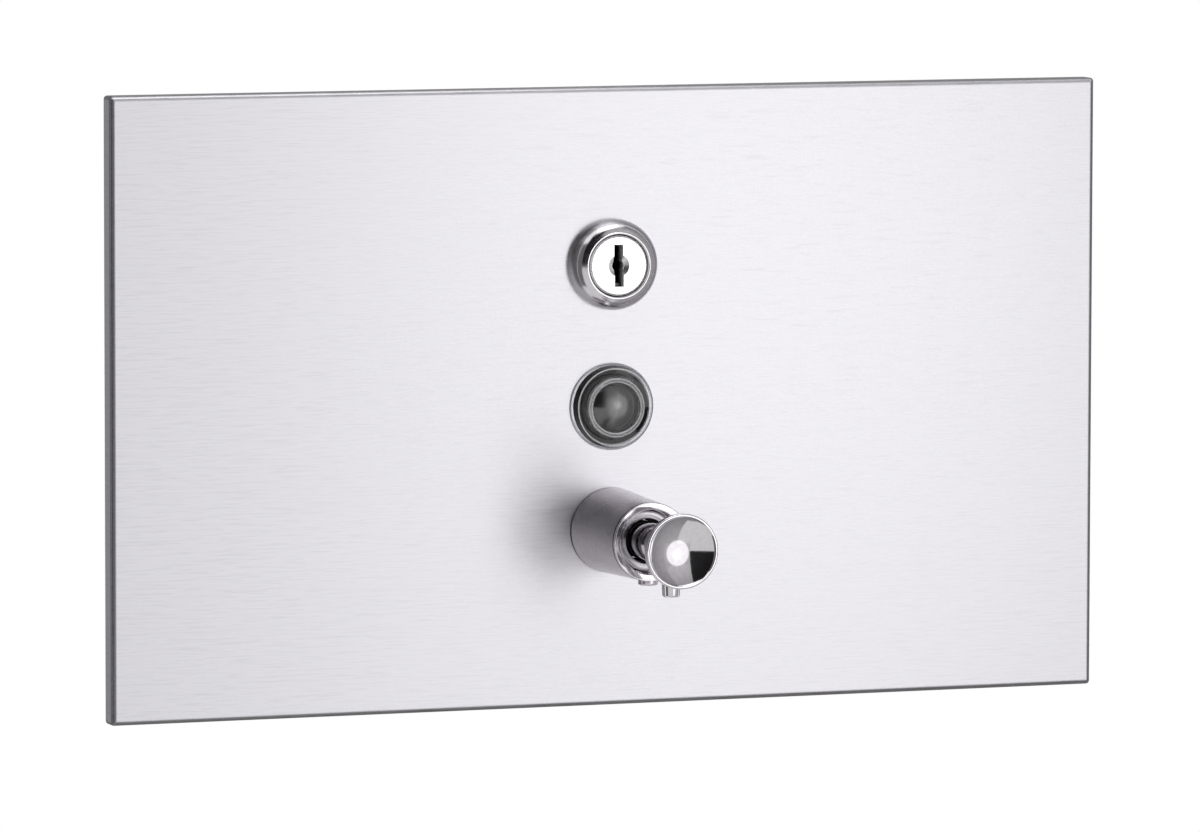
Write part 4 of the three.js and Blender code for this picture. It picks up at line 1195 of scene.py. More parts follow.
slot_front = plug_face - cut_overrun
slot_rows = []
for deep in (slot_front, plug_face + key_depth):
    row = []
    for side, shift, up in slot_corners:
        x = side * key_width * half + shift * key_shift * half
        z = lock_z + up * key_height * half - (0 if up else shift * side * key_shift)
        row.append((x, deep, z))
    slot_rows.append(row)
carve(plug, [
    skin("key_slot", slot_rows, capped=True),
    rod("key_bore", key_bore, slot_front, plug_face + key_bore_depth, "Y", lock_spot),
    rod("screw_hole", tail_hole, plug_high.y - tail_hole_depth, plug_high.y + cut_overrun, "Y", lock_spot),
])
coat(plug, nickel, key_way_shading)
# The slot's walls get the key way's painted light and shade, light at the front and dark deeper in.
for face in plug.data.polygons:
    off_axis = math.hypot(face.center.x, face.center.z - lock_z)
    deep = face.center.y - plug_face
    if off_axis < key_height * half + key_margin and deep > sink_depth + bore_margin:
        face.material_index = 1 if face.center.y < plug_body_end else 0
settle(plug)
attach(plug, "lock")
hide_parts("lock_plug")

# The wafers are coloured far darker than brass, as painted shade inside the key's slot.
wafer_brass, tree, shader = substance("wafer_brass", brass_in_painted_shade)
roughen(tree, shader, grain(tree, brass_grain), brass_rough)
for index in range(wafer_count):
    side = 1 if index % 2 else -1
    start = plug_face + wafer_start + index * wafer_pitch
    edge = lock_z + side * (key_height * half + wafer_bury)
    inner = lock_z + side * (key_height * half - wafer_reach)
    low_z, high_z = sorted((edge, inner))
    across = key_width * half + wafer_overlap
    wafer = block(f"lock_wafer_{index + 1}", (-across, start, low_z), (across, start + wafer_sheet, high_z))
    coat(wafer, wafer_brass)
    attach(wafer, "lock")

# Cam and its screw
# A stamped steel cam sits on the plug's square tail. With the lock open it lies to the side; a quarter turn
# puts it behind the strike.
cam_hub = 8.0 * mm
cam_tip = 12.0 * mm
cam_round = 2.2 * mm
cam_square = 3.8 * mm
cam_arc_steps = 16
cam_arc = math.pi * 0.73
stamp_ease = 0.25 * mm
stamp_angle = math.radians(50)
screw_head = 6.0 * mm
screw_slot = 1.25 * mm
screw_shank = 2.0 * mm
screw_tip_round = 0.3 * mm
head_seat_round = 0.2 * mm
head_top_round = 0.5 * mm
cam_low, cam_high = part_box("lock_cam")
outline = []
for step in range(cam_arc_steps + 1):
    angle = -cam_arc + cam_arc * 2 * step / cam_arc_steps
    outline.append((cam_hub * math.cos(angle), cam_hub * math.sin(angle)))
for side in (1, -1):
    for step in range(corner_steps + 1):
        turn = step / corner_steps * math.pi * half
        angle = math.pi * half + turn if side > 0 else math.pi + turn
        outline.append((
            cam_low.x + cam_round + cam_round * math.cos(angle),
            side * (cam_tip * half - cam_round) + cam_round * math.sin(angle),
        ))
cam = skin("stamped_cam", [
    [(x, deep, lock_z + z) for x, z in outline] for deep in (cam_low.y, cam_high.y)
], capped=True)
carve(cam, [block(
    "cam_square", (-cam_square, cam_low.y - cut_overrun, lock_z - cam_square),
    (cam_square, cam_high.y + cut_overrun, lock_z + cam_square),
)])
bevel(cam, stamp_ease, 2, stamp_angle)
coat(cam, zinc_plate)
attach(cam, "lock")
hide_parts("lock_cam")

screw_low, screw_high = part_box("cam_screw")
cam_screw = turned("cheese_head_screw", eased([
    (0, screw_low.y, 0), (screw_shank, screw_low.y, screw_tip_round), (screw_shank, cam_high.y, 0),
    (screw_head, cam_high.y, head_seat_round), (screw_head, screw_high.y, head_top_round),
    (0, screw_high.y, 0),
]), "Y", lock_spot)
carve(cam_screw, [block(
    "driver_slot", (-screw_head - cut_overrun, screw_high.y - screw_slot, lock_z - screw_slot * half),
    (screw_head + cut_overrun, screw_high.y + cut_overrun, lock_z + screw_slot * half),
)])
coat(cam_screw, zinc_plate)
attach(cam_screw, "lock")
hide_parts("cam_screw")

# Sight glass
# A clear acrylic moulding that shows the soap level: a rounded flange on the plate, a raised ring round the
# low dome of a lens, and a hollow threaded shank that a plastic nut pulls tight on a rubber ring.
glass_sides = 96
flange_top = 0.9 * mm
flange_step = 0.55 * mm
flange_top_round = 0.3 * mm
flange_edge = 0.7 * mm
flange_edge_round = 0.2 * mm
flange_lift = 0.02 * mm
shoulder_radius = 10.05 * mm
shoulder_height = 3.1 * mm
shoulder_sink = 0.95 * mm
shoulder_round = 0.15 * mm
shoulder_lip = 0.3 * mm
shoulder_dip = 0.1 * mm
ring_outer = 7.6 * mm
ring_inner = 6.45 * mm
ring_round = 0.3 * mm
ring_root = 0.12 * mm
lens_height = 2.6 * mm
lens_rise = 1.6 * mm
lens_sheet = 2.2 * mm
lens_root = 0.15 * mm
lens_steps = 12
shank_radius = 8.8 * mm
shank_core = 8.3 * mm
shank_bore = 6.2 * mm
shank_pitch = 1.5 * mm
shank_plain = 2.0 * mm
shank_lead = 2.2 * mm
shank_thread_gap = 0.5 * mm
shank_end_ease = 0.3 * mm
edge_wear = 0.3 * mm
acrylic_tint = (0.90, 0.91, 0.92, 1)
acrylic_bend = 1.49
smear_size = 500
ripple_size = 260
ripple_relief = 0.012 * mm
# Each kind of surface has its roughness, how much it lets through, and how strongly it mirrors the room.
acrylics = {
    "clear_acrylic_moulding": ((0.02, 0.09), 1, 1.4),
    "rubbed_acrylic_lens": ((0.13, 0.20), 0.98, 1.8),
    "scuffed_acrylic_ring": ((0.16, 0.28), 0.80, 1.4),
    "bright_acrylic_shoulder": ((0.02, 0.09), 1, 1.75),
    "worn_acrylic_edge": ((0.20, 0.35), 0.15, 1.6),
}
window_spot = (0, 0, window_z)
flange_radius = (window_high.x - window_low.x) * half
ring_top = window_low.y
shoulder_top = face_y - shoulder_height
lens_edge = face_y - lens_height
lens_curve = (ring_inner ** 2 + lens_rise ** 2) / (2 * lens_rise)


def clear_acrylic(name, reach, clear, mirror):
    """Acrylic with its roughness within reach. clear is its share of see-through, and a higher mirror
    throws back more of the room."""
    material, tree, output = bare_material(name)
    shader = add(tree, "ShaderNodeBsdfPrincipled", Base_Color=acrylic_tint, IOR=acrylic_bend)
    shader.inputs["Transmission Weight"].default_value = clear
    shader.inputs["Coat Weight"].default_value = 1
    shader.inputs["Coat IOR"].default_value = mirror
    tree.links.new(shader.outputs[0], output.inputs["Surface"])
    smears = spread(tree, grain(tree, smear_size, detail=some_detail), reach, noise_span)
    tree.links.new(smears, shader.inputs["Roughness"])
    tree.links.new(smears, shader.inputs["Coat Roughness"])
    emboss(tree, shader, grain(tree, ripple_size, detail=least_detail), ripple_relief)
    return material


def lens_dome(reach, deeper):
    """The lens's low dome, from its middle out to reach and deeper than its front."""
    rows = []
    for step in range(lens_steps):
        radius = reach * step / lens_steps
        sunk = lens_curve - math.sqrt(lens_curve ** 2 - radius ** 2)
        rows.append((radius, lens_edge - lens_rise + sunk + deeper))
    return rows


front_rows = eased([
    (ring_inner, lens_edge, lens_root), (ring_inner, ring_top, ring_round),
    (ring_outer, ring_top, ring_round), (ring_outer, shoulder_top + shoulder_sink, ring_root),
    (shoulder_radius - shoulder_lip, shoulder_top + shoulder_dip, 0),
    (shoulder_radius, shoulder_top, shoulder_round),
    (flange_radius - flange_step, face_y - flange_top, flange_top_round),
    (flange_radius, face_y - flange_edge, flange_edge_round), (flange_radius, face_y - flange_lift, 0),
])
front_rows += [(shank_core, face_y - flange_lift), (shank_core, face_y + shank_plain)]
rows = turned_rows(lens_dome(ring_inner, 0) + front_rows, "Y", window_spot, glass_sides)
rows += thread(
    shank_radius, shank_core, shank_pitch, face_y + shank_lead, window_high.y - shank_thread_gap, "Y",
    window_spot, glass_sides,
)
rows += turned_rows([
    (shank_core - shank_end_ease, window_high.y), (shank_bore, window_high.y),
    (shank_bore, lens_edge + lens_sheet),
] + lens_dome(shank_bore, lens_sheet)[::-1], "Y", window_spot, glass_sides)
glass = skin("clear_sight_glass", rows)
coat(glass, *[clear_acrylic(name, *values) for name, values in acrylics.items()])
lens_kind, ring_kind, shoulder_kind, edge_kind = range(1, len(acrylics))
worn_corners = [
    Vector((ring_inner, ring_top)), Vector((ring_outer, ring_top)), Vector((shoulder_radius, shoulder_top)),
]
for face in glass.data.polygons:
    off_axis = math.hypot(face.center.x, face.center.z - window_z)
    here = Vector((off_axis, face.center.y))
    if min((here - corner).length for corner in worn_corners) < edge_wear:
        face.material_index = edge_kind
    elif face.center.y < lens_edge and off_axis < ring_outer:
        face.material_index = ring_kind if off_axis > ring_inner else lens_kind
    elif off_axis > ring_outer and face.center.y < shoulder_top + shoulder_sink:
        face.material_index = shoulder_kind
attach(glass, "panel")
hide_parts("sight_glass")

# Window seals and nut
# A thin black washer lies under the glass's flange. Inside the tank a thick rubber ring makes the seal, and
# a moulded plastic nut presses on it.
washer_set = 0.35 * mm
washer_inset = 1.35 * mm
washer_bore = 6.6 * mm
black_and_shade_dark = (0.002, 0.002, 0.003, 1)
black_and_shade_light = (0.030, 0.026, 0.030, 1)
washer_span = (0.48, 0.72)
washer_rough = (0.6, 0.85)
washer_dust = 240
gasket_round = (0.2 * mm, 0.4 * mm)
rubber_dark = (0.014, 0.014, 0.015, 1)
rubber_light = (0.05, 0.05, 0.052, 1)
rubber_rough = (0.5, 0.8)
rubber_bloom = 350
rubber_grain = 2600
rubber_relief = 0.02 * mm
window_nut_across = 22.0 * mm
plastic_dark = (0.22, 0.23, 0.24, 1)
plastic_light = (0.31, 0.32, 0.33, 1)
plastic_rough = (0.36, 0.56)
plastic_grain = 1400
plastic_relief = 0.03 * mm
washer_radius = flange_radius - washer_inset
washer_front = face_y - washer_set

rubber, tree, shader = substance("black_nitrile_rubber", metallic=0)
bloom = grain(tree, rubber_bloom, detail=much_detail)
tint(tree, shader, bloom, rubber_dark, rubber_light)
roughen(tree, shader, bloom, rubber_rough)
emboss(tree, shader, grain(tree, rubber_grain), rubber_relief)


def rubber_ring(name, inner, outer, low, high, rounding, axis, centre, sides=turned_sides):
    """A rubber ring between two radii. rounding is that of its inner edges and that of its outer ones."""
    ring = turned(name, eased([
        (inner, low, rounding[0]), (outer, low, rounding[1]), (outer, high, rounding[1]),
        (inner, high, rounding[0]),
    ]), axis, centre, sides)
    coat(ring, rubber)
    return ring


# The same black serves as painted shade lines in the valve barrel's groove and foot.
black_washer_and_shade, tree, shader = substance("black_washer_and_painted_shade", metallic=0)
dust = grain(tree, washer_dust, detail=much_detail)
tint(tree, shader, dust, black_and_shade_dark, black_and_shade_light, washer_span)
roughen(tree, shader, dust, washer_rough)
washer = turned("window_washer", [
    (washer_bore, washer_front), (washer_radius, washer_front), (washer_radius, face_y),
    (washer_bore, face_y),
], "Y", window_spot, glass_sides)
coat(washer, black_washer_and_shade)
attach(washer, "panel")

gasket_low, gasket_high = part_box("window_gasket")
gasket = rubber_ring(
    "window_rubber_ring", shank_radius + nut_play, gasket_high.x, gasket_low.y, gasket_high.y, gasket_round,
    "Y", window_spot,
)
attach(gasket, "panel")
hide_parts("window_gasket")

grey_moulding, tree, shader = substance("grey_moulded_plastic", metallic=0)
sparks = grain(tree, plastic_grain, detail=some_detail)
tint(tree, shader, sparks, plastic_dark, plastic_light)
roughen(tree, shader, sparks, plastic_rough)
emboss(tree, shader, sparks, plastic_relief)
nut_low, nut_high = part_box("window_nut")
window_nut = hex_nut(
    "window_plastic_nut", window_nut_across, shank_radius + nut_play, nut_low.y, nut_high.y, window_spot,
)
coat(window_nut, grey_moulding)
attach(window_nut, "panel")
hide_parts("window_nut")

# Valve barrel
# A tapered tube, turned from bar and satin chromed, with a rounded rim and a fine groove at its mouth and a
# small foot where it stands on the plate. A small screw from below holds it to the pump cylinder inside.
barrel_sides = 128
barrel_mouth = 10.1 * mm
barrel_mouth_bore = 8.2 * mm
barrel_bore = 8.0 * mm
barrel_recess = 4.7 * mm
rim_round = 0.3 * mm
rim_steps = 6
mouth_band = 0.8 * mm
groove_width = 0.55 * mm
groove_depth = 0.3 * mm
foot_height = 0.5 * mm
foot_inset = 0.25 * mm
screw_from_mouth = 2.8 * mm
set_sink_radius = 2.8 * mm
set_sink_depth = 0.8 * mm
set_shank = 1.2 * mm
set_head = 2.5 * mm
set_gap = 0.3 * mm
set_seat_round = 0.1 * mm
set_head_round = 0.45 * mm
set_slot_half = 0.35 * mm
set_slot_depth = 0.7 * mm
set_slot_reach = 4.0 * mm
satin_dark = (0.66, 0.62, 0.67, 1)
satin_light = (0.84, 0.80, 0.85, 1)
satin_span = (0.5, 1)
satin_rough = (0.22, 0.34)
satin_lines = (45, 3400, 45)
satin_cloud = (160, 60, 160)
satin_share = 0.5
satin_relief = 0.005 * mm
valve_spot = (0, 0, valve_z)
barrel_base = (barrel_high.x - barrel_low.x) * half
mouth_y = barrel_low.y
band_end = mouth_y + mouth_band
foot_start = barrel_high.y - foot_height
recess_end = mouth_y + barrel_recess
screw_y = mouth_y + screw_from_mouth
screw_spot = (0, screw_y, 0)
sink_z = valve_z - barrel_mouth + set_sink_depth
head_low, head_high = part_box("barrel_screw")

satin, tree, shader = substance("satin_chrome")
turning = grain(tree, satin_lines)
both = with_share(tree, turning, satin_share, grain(tree, satin_cloud, detail=some_detail))
tint(tree, shader, both, satin_dark, satin_light, satin_span)
roughen(tree, shader, both, satin_rough, satin_span)
emboss(tree, shader, turning, satin_relief)
barrel = turned("turned_valve_barrel", eased([
    (barrel_mouth_bore, mouth_y, rim_round), (barrel_mouth, mouth_y, rim_round), (barrel_mouth, band_end, 0),
    (barrel_mouth - groove_depth, band_end + groove_width * half, 0),
    (barrel_mouth, band_end + groove_width, 0), (barrel_base, foot_start, 0),
    (barrel_base - foot_inset, foot_start, 0), (barrel_base - foot_inset, barrel_high.y, 0),
    (barrel_bore, barrel_high.y, 0), (barrel_bore, recess_end, 0), (barrel_mouth_bore, recess_end, 0),
], rim_steps), "Y", valve_spot, barrel_sides)
carve(barrel, [
    rod("screw_sink", set_sink_radius, sink_z, valve_z - barrel_base - cut_overrun, "Z", screw_spot),
])
# The mouth band is polished; the groove and the foot are coloured black, as painted shade lines at the mouth
# and where the barrel stands on the plate.
coat(barrel, satin, polished, black_washer_and_shade)
for face in barrel.data.polygons:
    if face.center.y < band_end:
        face.material_index = 1
    elif face.center.y < band_end + groove_width or face.center.y > foot_start:
        face.material_index = 2
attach(barrel, "panel")
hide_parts("valve_barrel")

barrel_screw = turned("barrel_set_screw", eased([
    (0, head_high.z, 0), (set_shank, head_high.z, 0), (set_shank, sink_z - set_gap, 0),
    (set_head, sink_z - set_gap, set_seat_round), (set_head, head_low.z, set_head_round), (0, head_low.z, 0),
]), "Z", screw_spot)
carve(barrel_screw, [block(
    "driver_slot", (-set_slot_reach, screw_y - set_slot_half, head_low.z - cut_overrun),
    (set_slot_reach, screw_y + set_slot_half, head_low.z + set_slot_depth),
)])
coat(barrel_screw, satin)
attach(barrel_screw, "panel")
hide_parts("barrel_screw")

# Pump cylinder
# A plated brass tube from the barrel's mouth through the plate into the tank, with its front lip crimped in
# over the gland ring. It is threaded for the nut that clamps the valve, and its back holds the inlet valve
# and the pickup tube.
sleeve = 7.7 * mm
sleeve_core = 7.3 * mm
sleeve_lip = ((-0.35 * mm, 0), (-0.1 * mm, 0.1 * mm), (0, 0.35 * mm))
sleeve_end_ease = 0.3 * mm
cylinder_bore = 6.1 * mm
cylinder_pitch = 1.25 * mm
thread_gap = 0.4 * mm
gland_seat = 6.7 * mm
gland_gap = 0.3 * mm
crimp_bore = 5.7 * mm
crimp_lip = ((0, 0.3 * mm), (0.1 * mm, 0.1 * mm), (0.3 * mm, 0))
spring_seat = 11.2 * mm
seat_back = 14.2 * mm
socket_bore = 6.4 * mm
stem_hole = 1.6 * mm
inlet_count = 4
inlet_sides = 16
inlet_pitch = 2.6 * mm
inlet_hole = 0.65 * mm
valve_nut_across = 25.0 * mm
plated_shade_dark = (0.40, 0.39, 0.41, 1)
plated_shade_light = (0.56, 0.55, 0.57, 1)
plated_rough = (0.16, 0.34)
plated_cloud = (300, 500, 300)
plated_relief = 0.01 * mm
thread_start = face_y + 1.0 * mm
thread_end = face_y + 12.0 * mm
cylinder_low, cylinder_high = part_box("valve_cylinder")
gland_low, gland_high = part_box("gland_ring")

# The plating is coloured darker than bright nickel, as painted shade where its crimped lip shows deep in the
# barrel's mouth.
plated, tree, shader = substance("plated_brass")
dulled = grain(tree, plated_cloud, detail=much_detail)
tint(tree, shader, dulled, plated_shade_dark, plated_shade_light)
roughen(tree, shader, dulled, plated_rough)
emboss(tree, shader, dulled, plated_relief)
outline = [(gland_seat, gland_high.y), (gland_seat, gland_low.y - gland_gap)]
outline.append((crimp_bore, gland_low.y - gland_gap))
outline += [(crimp_bore + out, cylinder_low.y + deep) for out, deep in crimp_lip]
outline += [(sleeve + out, cylinder_low.y + deep) for out, deep in sleeve_lip]
outline.append((sleeve, thread_start - thread_gap))
rows = turned_rows(outline, "Y", valve_spot, lock_sides)
rows += thread(sleeve, sleeve_core, cylinder_pitch, thread_start, thread_end, "Y", valve_spot, lock_sides)
rows += turned_rows([
    (sleeve, thread_end + thread_gap), (sleeve, cylinder_high.y - sleeve_end_ease),
    (sleeve - sleeve_end_ease, cylinder_high.y), (socket_bore, cylinder_high.y), (socket_bore, seat_back),
    (stem_hole, seat_back), (stem_hole, spring_seat), (cylinder_bore, spring_seat),
    (cylinder_bore, gland_high.y),
], "Y", valve_spot, lock_sides)
cylinder = skin("plated_pump_cylinder", rows, along=True)
inlets = []
for quarter in range(inlet_count):
    angle = (quarter + half) * math.pi * half
    place = (inlet_pitch * math.cos(angle), 0, valve_z + inlet_pitch * math.sin(angle))
    inlets.append(rod(
        "inlet", inlet_hole, spring_seat - cut_overrun, seat_back + cut_overrun, "Y", place, inlet_sides,
    ))
carve(cylinder, inlets)
coat(cylinder, plated)
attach(cylinder, "panel")
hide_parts("valve_cylinder")

gasket_low, gasket_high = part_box("valve_gasket")
gasket = rubber_ring(
    "valve_rubber_ring", barrel_bore, gasket_high.x, gasket_low.y, gasket_high.y, gasket_round, "Y",
    valve_spot,
)
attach(gasket, "panel")
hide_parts("valve_gasket")

nut_low, nut_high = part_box("valve_nut")
valve_nut = hex_nut(
    "valve_clamp_nut", valve_nut_across, barrel_bore, nut_low.y, nut_high.y, valve_spot,
)
coat(valve_nut, plated)
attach(valve_nut, "panel")
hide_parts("valve_nut")

# Gland ring, inlet valve and pickup tube
# The rubber ring in the cylinder's front wipes the plunger. A rubber mushroom at its back lets soap in but
# not out, and a plastic tube reaches down to the tank's floor.
gland_bore = 5.2 * mm
gland_round = (0.3 * mm, 0.3 * mm)
stem = 1.3 * mm
stem_end_round = 0.2 * mm
mushroom_top_round = 0.3 * mm
mushroom_lip_round = 0.08 * mm
barb = 2.0 * mm
barb_round = 0.1 * mm
pickup_wall = 1.5 * mm
pickup_bend = 9.0 * mm
pickup_steps = 14
pickup_sides = 32
gland_radius = (gland_high.x - gland_low.x) * half
gland = rubber_ring(
    "gland_wiper", gland_bore, gland_radius, gland_low.y, gland_high.y, gland_round, "Y", valve_spot,
    lock_sides,
)
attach(gland, "panel")
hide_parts("gland_ring")

valve_low, valve_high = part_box("inlet_valve")
mushroom_radius = (valve_high.x - valve_low.x) * half
mushroom = turned("inlet_mushroom", eased([
    (0, valve_low.y, 0), (mushroom_radius * half, valve_low.y, mushroom_top_round),
    (mushroom_radius, spring_seat, mushroom_lip_round), (stem, spring_seat, 0), (stem, seat_back, 0),
    (barb, seat_back, barb_round), (stem, valve_high.y, stem_end_round), (0, valve_high.y, 0),
]), "Y", valve_spot)
coat(mushroom, rubber)
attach(mushroom, "panel")
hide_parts("inlet_valve")

pickup_low, pickup_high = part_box("pickup_tube")
pickup_radius = (pickup_high.x - pickup_low.x) * half
pickup_corner = pickup_high.y - pickup_radius - pickup_bend
route = [((0, pickup_low.y, valve_z), 0)]
for step in range(pickup_steps + 1):
    angle = step / pickup_steps * math.pi * half
    y = pickup_corner + pickup_bend * math.sin(angle)
    z = valve_z - pickup_bend * (1 - math.cos(angle))
    route.append(((0, y, z), angle))
route.append(((0, pickup_corner + pickup_bend, pickup_low.z), math.pi * half))


def pipe_rows(radius):
    """Rings square to the pickup tube's route."""
    rows = []
    for (x, y, z), lean in route:
        row = []
        for side in range(pickup_sides):
            turn = side / pickup_sides * math.tau
            up = radius * math.sin(turn)
            row.append((x + radius * math.cos(turn), y + up * math.sin(lean), z + up * math.cos(lean)))
        rows.append(row)
    return rows


pickup = skin(
    "pickup_pipe", pipe_rows(pickup_radius) + pipe_rows(pickup_radius - pickup_wall)[::-1], along=True,
)
coat(pickup, grey_moulding)
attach(pickup, "panel")
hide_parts("pickup_tube")

# Push knob
# A chromed knob for the palm: a dished face in a thin bright rim, a cone behind it and a collar that is
# pushed on to the plunger. The spout goes up into its collar from below.
knob_rim_width = 0.7 * mm
knob_rim = 1.8 * mm
knob_dish = 3.0 * mm
knob_steps = 5
dish_steps = 20
dish_inset = 0.15 * mm
rim_crest = 0.1 * mm
rim_front_round = 0.4 * mm
rim_back_round = 0.5 * mm
cone_round = 0.8 * mm
collar_radius = 5.5 * mm
collar_length = 5.8 * mm
collar_round = 0.3 * mm
spigot_hole = 3.0 * mm
spigot_depth = 6.3 * mm
spout_top = 2.65 * mm
spout_play = 0.15 * mm
knob_low, knob_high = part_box("push_knob")
knob_radius = (knob_high.x - knob_low.x) * half
knob_face = knob_low.y
spout_low, spout_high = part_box("spout_nozzle")
spout_spot = (0, (spout_low.y + spout_high.y) * half, 0)
dish_radius = knob_radius - knob_rim_width
dish_curve = (dish_radius ** 2 + knob_dish ** 2) / (2 * knob_dish)
dish = []
for step in range(dish_steps + 1):
    radius = dish_radius * step / dish_steps
    sunk = math.sqrt(dish_curve ** 2 - radius ** 2) - (dish_curve - knob_dish)
    dish.append((radius, knob_face + dish_inset + sunk))
rest = eased([
    (dish_radius, knob_face + dish_inset, 0), (dish_radius + rim_crest, knob_face, rim_crest),
    (knob_radius, knob_face, rim_front_round), (knob_radius, knob_face + knob_rim, rim_back_round),
    (collar_radius, knob_high.y - collar_length, cone_round), (collar_radius, knob_high.y, collar_round),
    (0, knob_high.y, 0),
], knob_steps)[1:]
knob = turned("dished_push_knob", dish + rest, "Y", valve_spot, barrel_sides)
carve(knob, [
    rod("spigot_hole", spigot_hole, knob_high.y - spigot_depth, knob_high.y + cut_overrun, "Y", valve_spot),
    rod("spout_hole", spout_top + spout_play, valve_z, valve_z - knob_radius, "Z", spout_spot),
])
coat(knob, polished)
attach(knob, "button")
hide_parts("push_knob")

# Plunger and spout
# The plunger is a hollow chromed stem. Soap runs through it to the spout, a short tapered nozzle whose end
# is cut square. A rubber cup seal sits in a groove round its piston.
stem_radius = 4.9 * mm
stem_waist = 4.4 * mm
spigot = 2.7 * mm
soap_bore = 1.6 * mm
stop_gap = 0.3 * mm
stop_length = 2.0 * mm
piston_land = 1.5 * mm
piston_foot = 5.0 * mm
seal_seat = 3.6 * mm
seal_ledge = 0.15 * mm
seal_play = 0.3 * mm
seal_round = (0.3 * mm, 0.5 * mm)
edge_round = 0.2 * mm
land_round = 0.1 * mm
waist_round = 0.3 * mm
plunger_steps = 3
outlet_sides = 24
spout_end = 2.2 * mm
spout_bore = 1.3 * mm
spout_top_round = 0.1 * mm
spout_end_round = 0.5 * mm
spout_bore_round = 0.3 * mm
plunger_low, plunger_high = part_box("plunger")
seal_low, seal_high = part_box("piston_seal")
piston_radius = (plunger_high.x - plunger_low.x) * half
stop_start = gland_high.y + stop_gap
stop_end = stop_start + stop_length
groove_start = seal_low.y - seal_ledge
groove_end = seal_high.y + seal_ledge
piston_front = groove_start - piston_land
plunger = turned("hollow_plunger", eased([
    (soap_bore, plunger_low.y, 0), (spigot, plunger_low.y, edge_round), (spigot, knob_high.y, 0),
    (stem_radius, knob_high.y, edge_round), (stem_radius, stop_start, 0),
    (piston_radius, stop_start, edge_round), (piston_radius, stop_end, edge_round),
    (stem_waist, stop_end, waist_round), (stem_waist, piston_front, waist_round),
    (piston_radius, piston_front, edge_round), (piston_radius, groove_start, land_round),
    (seal_seat, groove_start, 0), (seal_seat, groove_end, 0), (piston_foot, groove_end, land_round),
    (piston_foot, plunger_high.y, edge_round), (soap_bore, plunger_high.y, edge_round),
], plunger_steps), "Y", valve_spot, lock_sides)
carve(plunger, [
    rod("outlet", spout_bore, valve_z, valve_z - spigot - cut_overrun, "Z", spout_spot, outlet_sides),
])
coat(plunger, polished)
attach(plunger, "button")
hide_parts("plunger")

spout = turned("tapered_spout", eased([
    (spout_bore, spout_high.z, 0), (spout_top, spout_high.z, spout_top_round),
    (spout_end, spout_low.z, spout_end_round), (spout_bore, spout_low.z, spout_bore_round),
]), "Z", spout_spot, lock_sides)
coat(spout, polished)
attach(spout, "button")
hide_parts("spout_nozzle")

seal = rubber_ring(
    "piston_cup_seal", seal_seat + seal_play, piston_radius, seal_low.y, seal_high.y, seal_round, "Y",
    valve_spot,
)
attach(seal, "button")
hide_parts("piston_seal")

# Return spring
# Eight turns of stainless wire between the piston and the cylinder's seat. It is squeezed as the knob goes
# in.
wire_radius = 0.45 * mm
wire_sides = 10
spring_radius = 4.6 * mm
spring_turns = 8
steps_per_turn = 28
spring_low, spring_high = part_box("return_spring")
spring_start = spring_low.y + wire_radius
spring_rise = spring_high.y - spring_low.y - wire_radius * 2
spring_steps = spring_turns * steps_per_turn
rows = []
for step in range(spring_steps + 1):
    angle = step / steps_per_turn * math.tau
    along = spring_start + spring_rise * step / spring_steps
    row = []
    for side in range(wire_sides):
        turn = side / wire_sides * math.tau
        radius = spring_radius + wire_radius * math.cos(turn)
        y = along + wire_radius * math.sin(turn)
        row.append((radius * math.cos(angle), y, valve_z + radius * math.sin(angle)))
    rows.append(row)
spring = skin("spring_wire", rows, capped=True)
coat(spring, pin_wire)
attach(spring, "button")
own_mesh(spring)
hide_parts("return_spring")

# Filler cap
# A moulded cap with a ribbed skirt and a grip bar. Two hooked slots in the skirt take the neck's pins, so
# that it locks in a quarter turn, and a rubber ring seals it.
cap_play = 0.3 * mm
cap_sheet = 2.0 * mm
skirt_ease = 0.3 * mm
rib_foot = 0.4 * mm
rib_top = 1.2 * mm
rib_count = 36
rib_depth = 0.35 * mm
cap_sides = rib_count * 4
crown_ledge = 0.5 * mm
crown_drop = 0.4 * mm
crown_inset = 1.3 * mm
grip_reach = 15.5 * mm
grip_half = 3.0 * mm
grip_waist = 2.3 * mm
grip_sink = 1.0 * mm
grip_round = 1.0 * mm
grip_shrink = 0.9 * mm
grip_end_power = 0.5
grip_side_power = 0.4
slot_steps = 14
slot_play = 0.3 * mm
vent_off_middle = 9.0 * mm
vent_radius = 1.2 * mm
vent_sides = 24
cap_ring_round = (0.2 * mm, 0.2 * mm)
cap_low, cap_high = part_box("filler_cap")
ring_low, ring_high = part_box("cap_gasket")
cap_spot = ((cap_low.x + cap_high.x) * half, (cap_low.y + cap_high.y) * half, 0)
cap_radius = (cap_high.x - cap_low.x) * half
cap_bore = neck_radius + cap_play
cap_roof = ring_high.z
cap_top = cap_roof + cap_sheet
rows = [[(cap_spot[0], cap_spot[1], cap_roof)]]
for radius, z, ribbed in (
    (cap_bore, cap_roof, 0), (cap_bore, cap_low.z, 0), (cap_radius - skirt_ease, cap_low.z, 0),
    (cap_radius, cap_low.z + rib_foot, 1), (cap_radius, cap_top - rib_top, 1),
    (cap_radius - crown_ledge, cap_top - crown_drop, 0), (cap_radius - crown_inset, cap_top, 0),
):
    def rib_radius(angle, radius=radius, ribbed=ribbed):
        return radius - ribbed * rib_depth * (math.cos(angle * rib_count) < 0)

    rows.append(ring_about("Z", cap_spot, rib_radius, z, cap_sides))
rows.append([(cap_spot[0], cap_spot[1], cap_top)])
cap = skin("ribbed_filler_cap", rows)
grip_rows = []
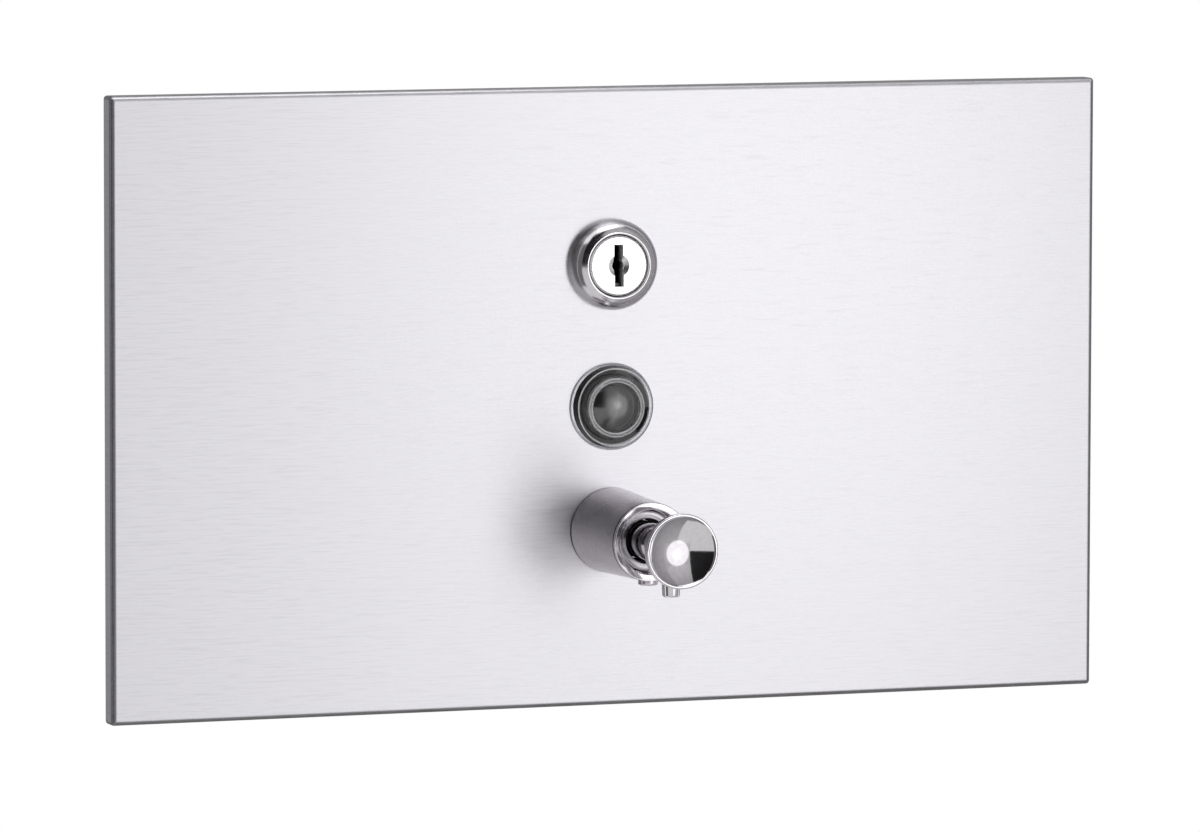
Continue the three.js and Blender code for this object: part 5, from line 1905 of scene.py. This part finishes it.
for z, shrink in ((cap_top - grip_sink, 0), (cap_high.z - grip_round, 0), (cap_high.z, grip_shrink)):
    row = []
    for step in range(cap_sides):
        angle = step / cap_sides * math.tau
        across, deep = math.cos(angle), math.sin(angle)
        x = (grip_reach - shrink) * math.copysign(abs(across) ** grip_end_power, across)
        width = grip_waist + (grip_half - grip_waist) * (abs(x) / grip_reach) ** 2 - shrink
        y = width * math.copysign(abs(deep) ** grip_side_power, deep)
        row.append((cap_spot[0] + x, cap_spot[1] + y, z))
    grip_rows.append(row)
grip = skin("cap_grip", grip_rows, capped=True)
carve(cap, [grip], way="UNION")


def ring_part(name, inner, outer, start, end, floor_z, roof_z):
    """Part of a ring between two angles, for cutting the cap's slots."""
    rows = []
    for step in range(slot_steps + 1):
        angle = start + (end - start) * step / slot_steps
        across, deep = math.cos(angle), math.sin(angle)
        rows.append([
            (cap_spot[0] + radius * across, cap_spot[1] + radius * deep, z)
            for radius, z in ((inner, floor_z), (outer, floor_z), (outer, roof_z), (inner, roof_z))
        ])
    return skin(name, rows, capped=True)


slot_half = neck_pin_radius + slot_play
slot_spread = slot_half / cap_bore
slot_reach = cap_radius + cut_overrun
tools = []
for start in (0, math.pi):
    far = start - math.pi * half
    tools.append(ring_part(
        "slot_run", neck_bore, slot_reach, far - slot_spread, start + slot_spread, pin_z - slot_half,
        pin_z + slot_half,
    ))
    tools.append(ring_part(
        "slot_mouth", neck_bore, slot_reach, far - slot_spread, far + slot_spread, cap_low.z - cut_overrun,
        pin_z,
    ))
tools.append(rod(
    "vent", vent_radius, cap_roof - cut_overrun, cap_top + cut_overrun, "Z",
    (cap_spot[0], cap_spot[1] + vent_off_middle, 0), vent_sides,
))
carve(cap, tools)
coat(cap, grey_moulding)
settle(cap)
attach(cap, "cap")
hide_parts("filler_cap")

cap_ring = rubber_ring(
    "cap_rubber_ring", neck_bore, neck_radius, ring_low.z, ring_high.z, cap_ring_round, "Z", cap_spot,
)
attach(cap_ring, "cap")
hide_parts("cap_gasket")
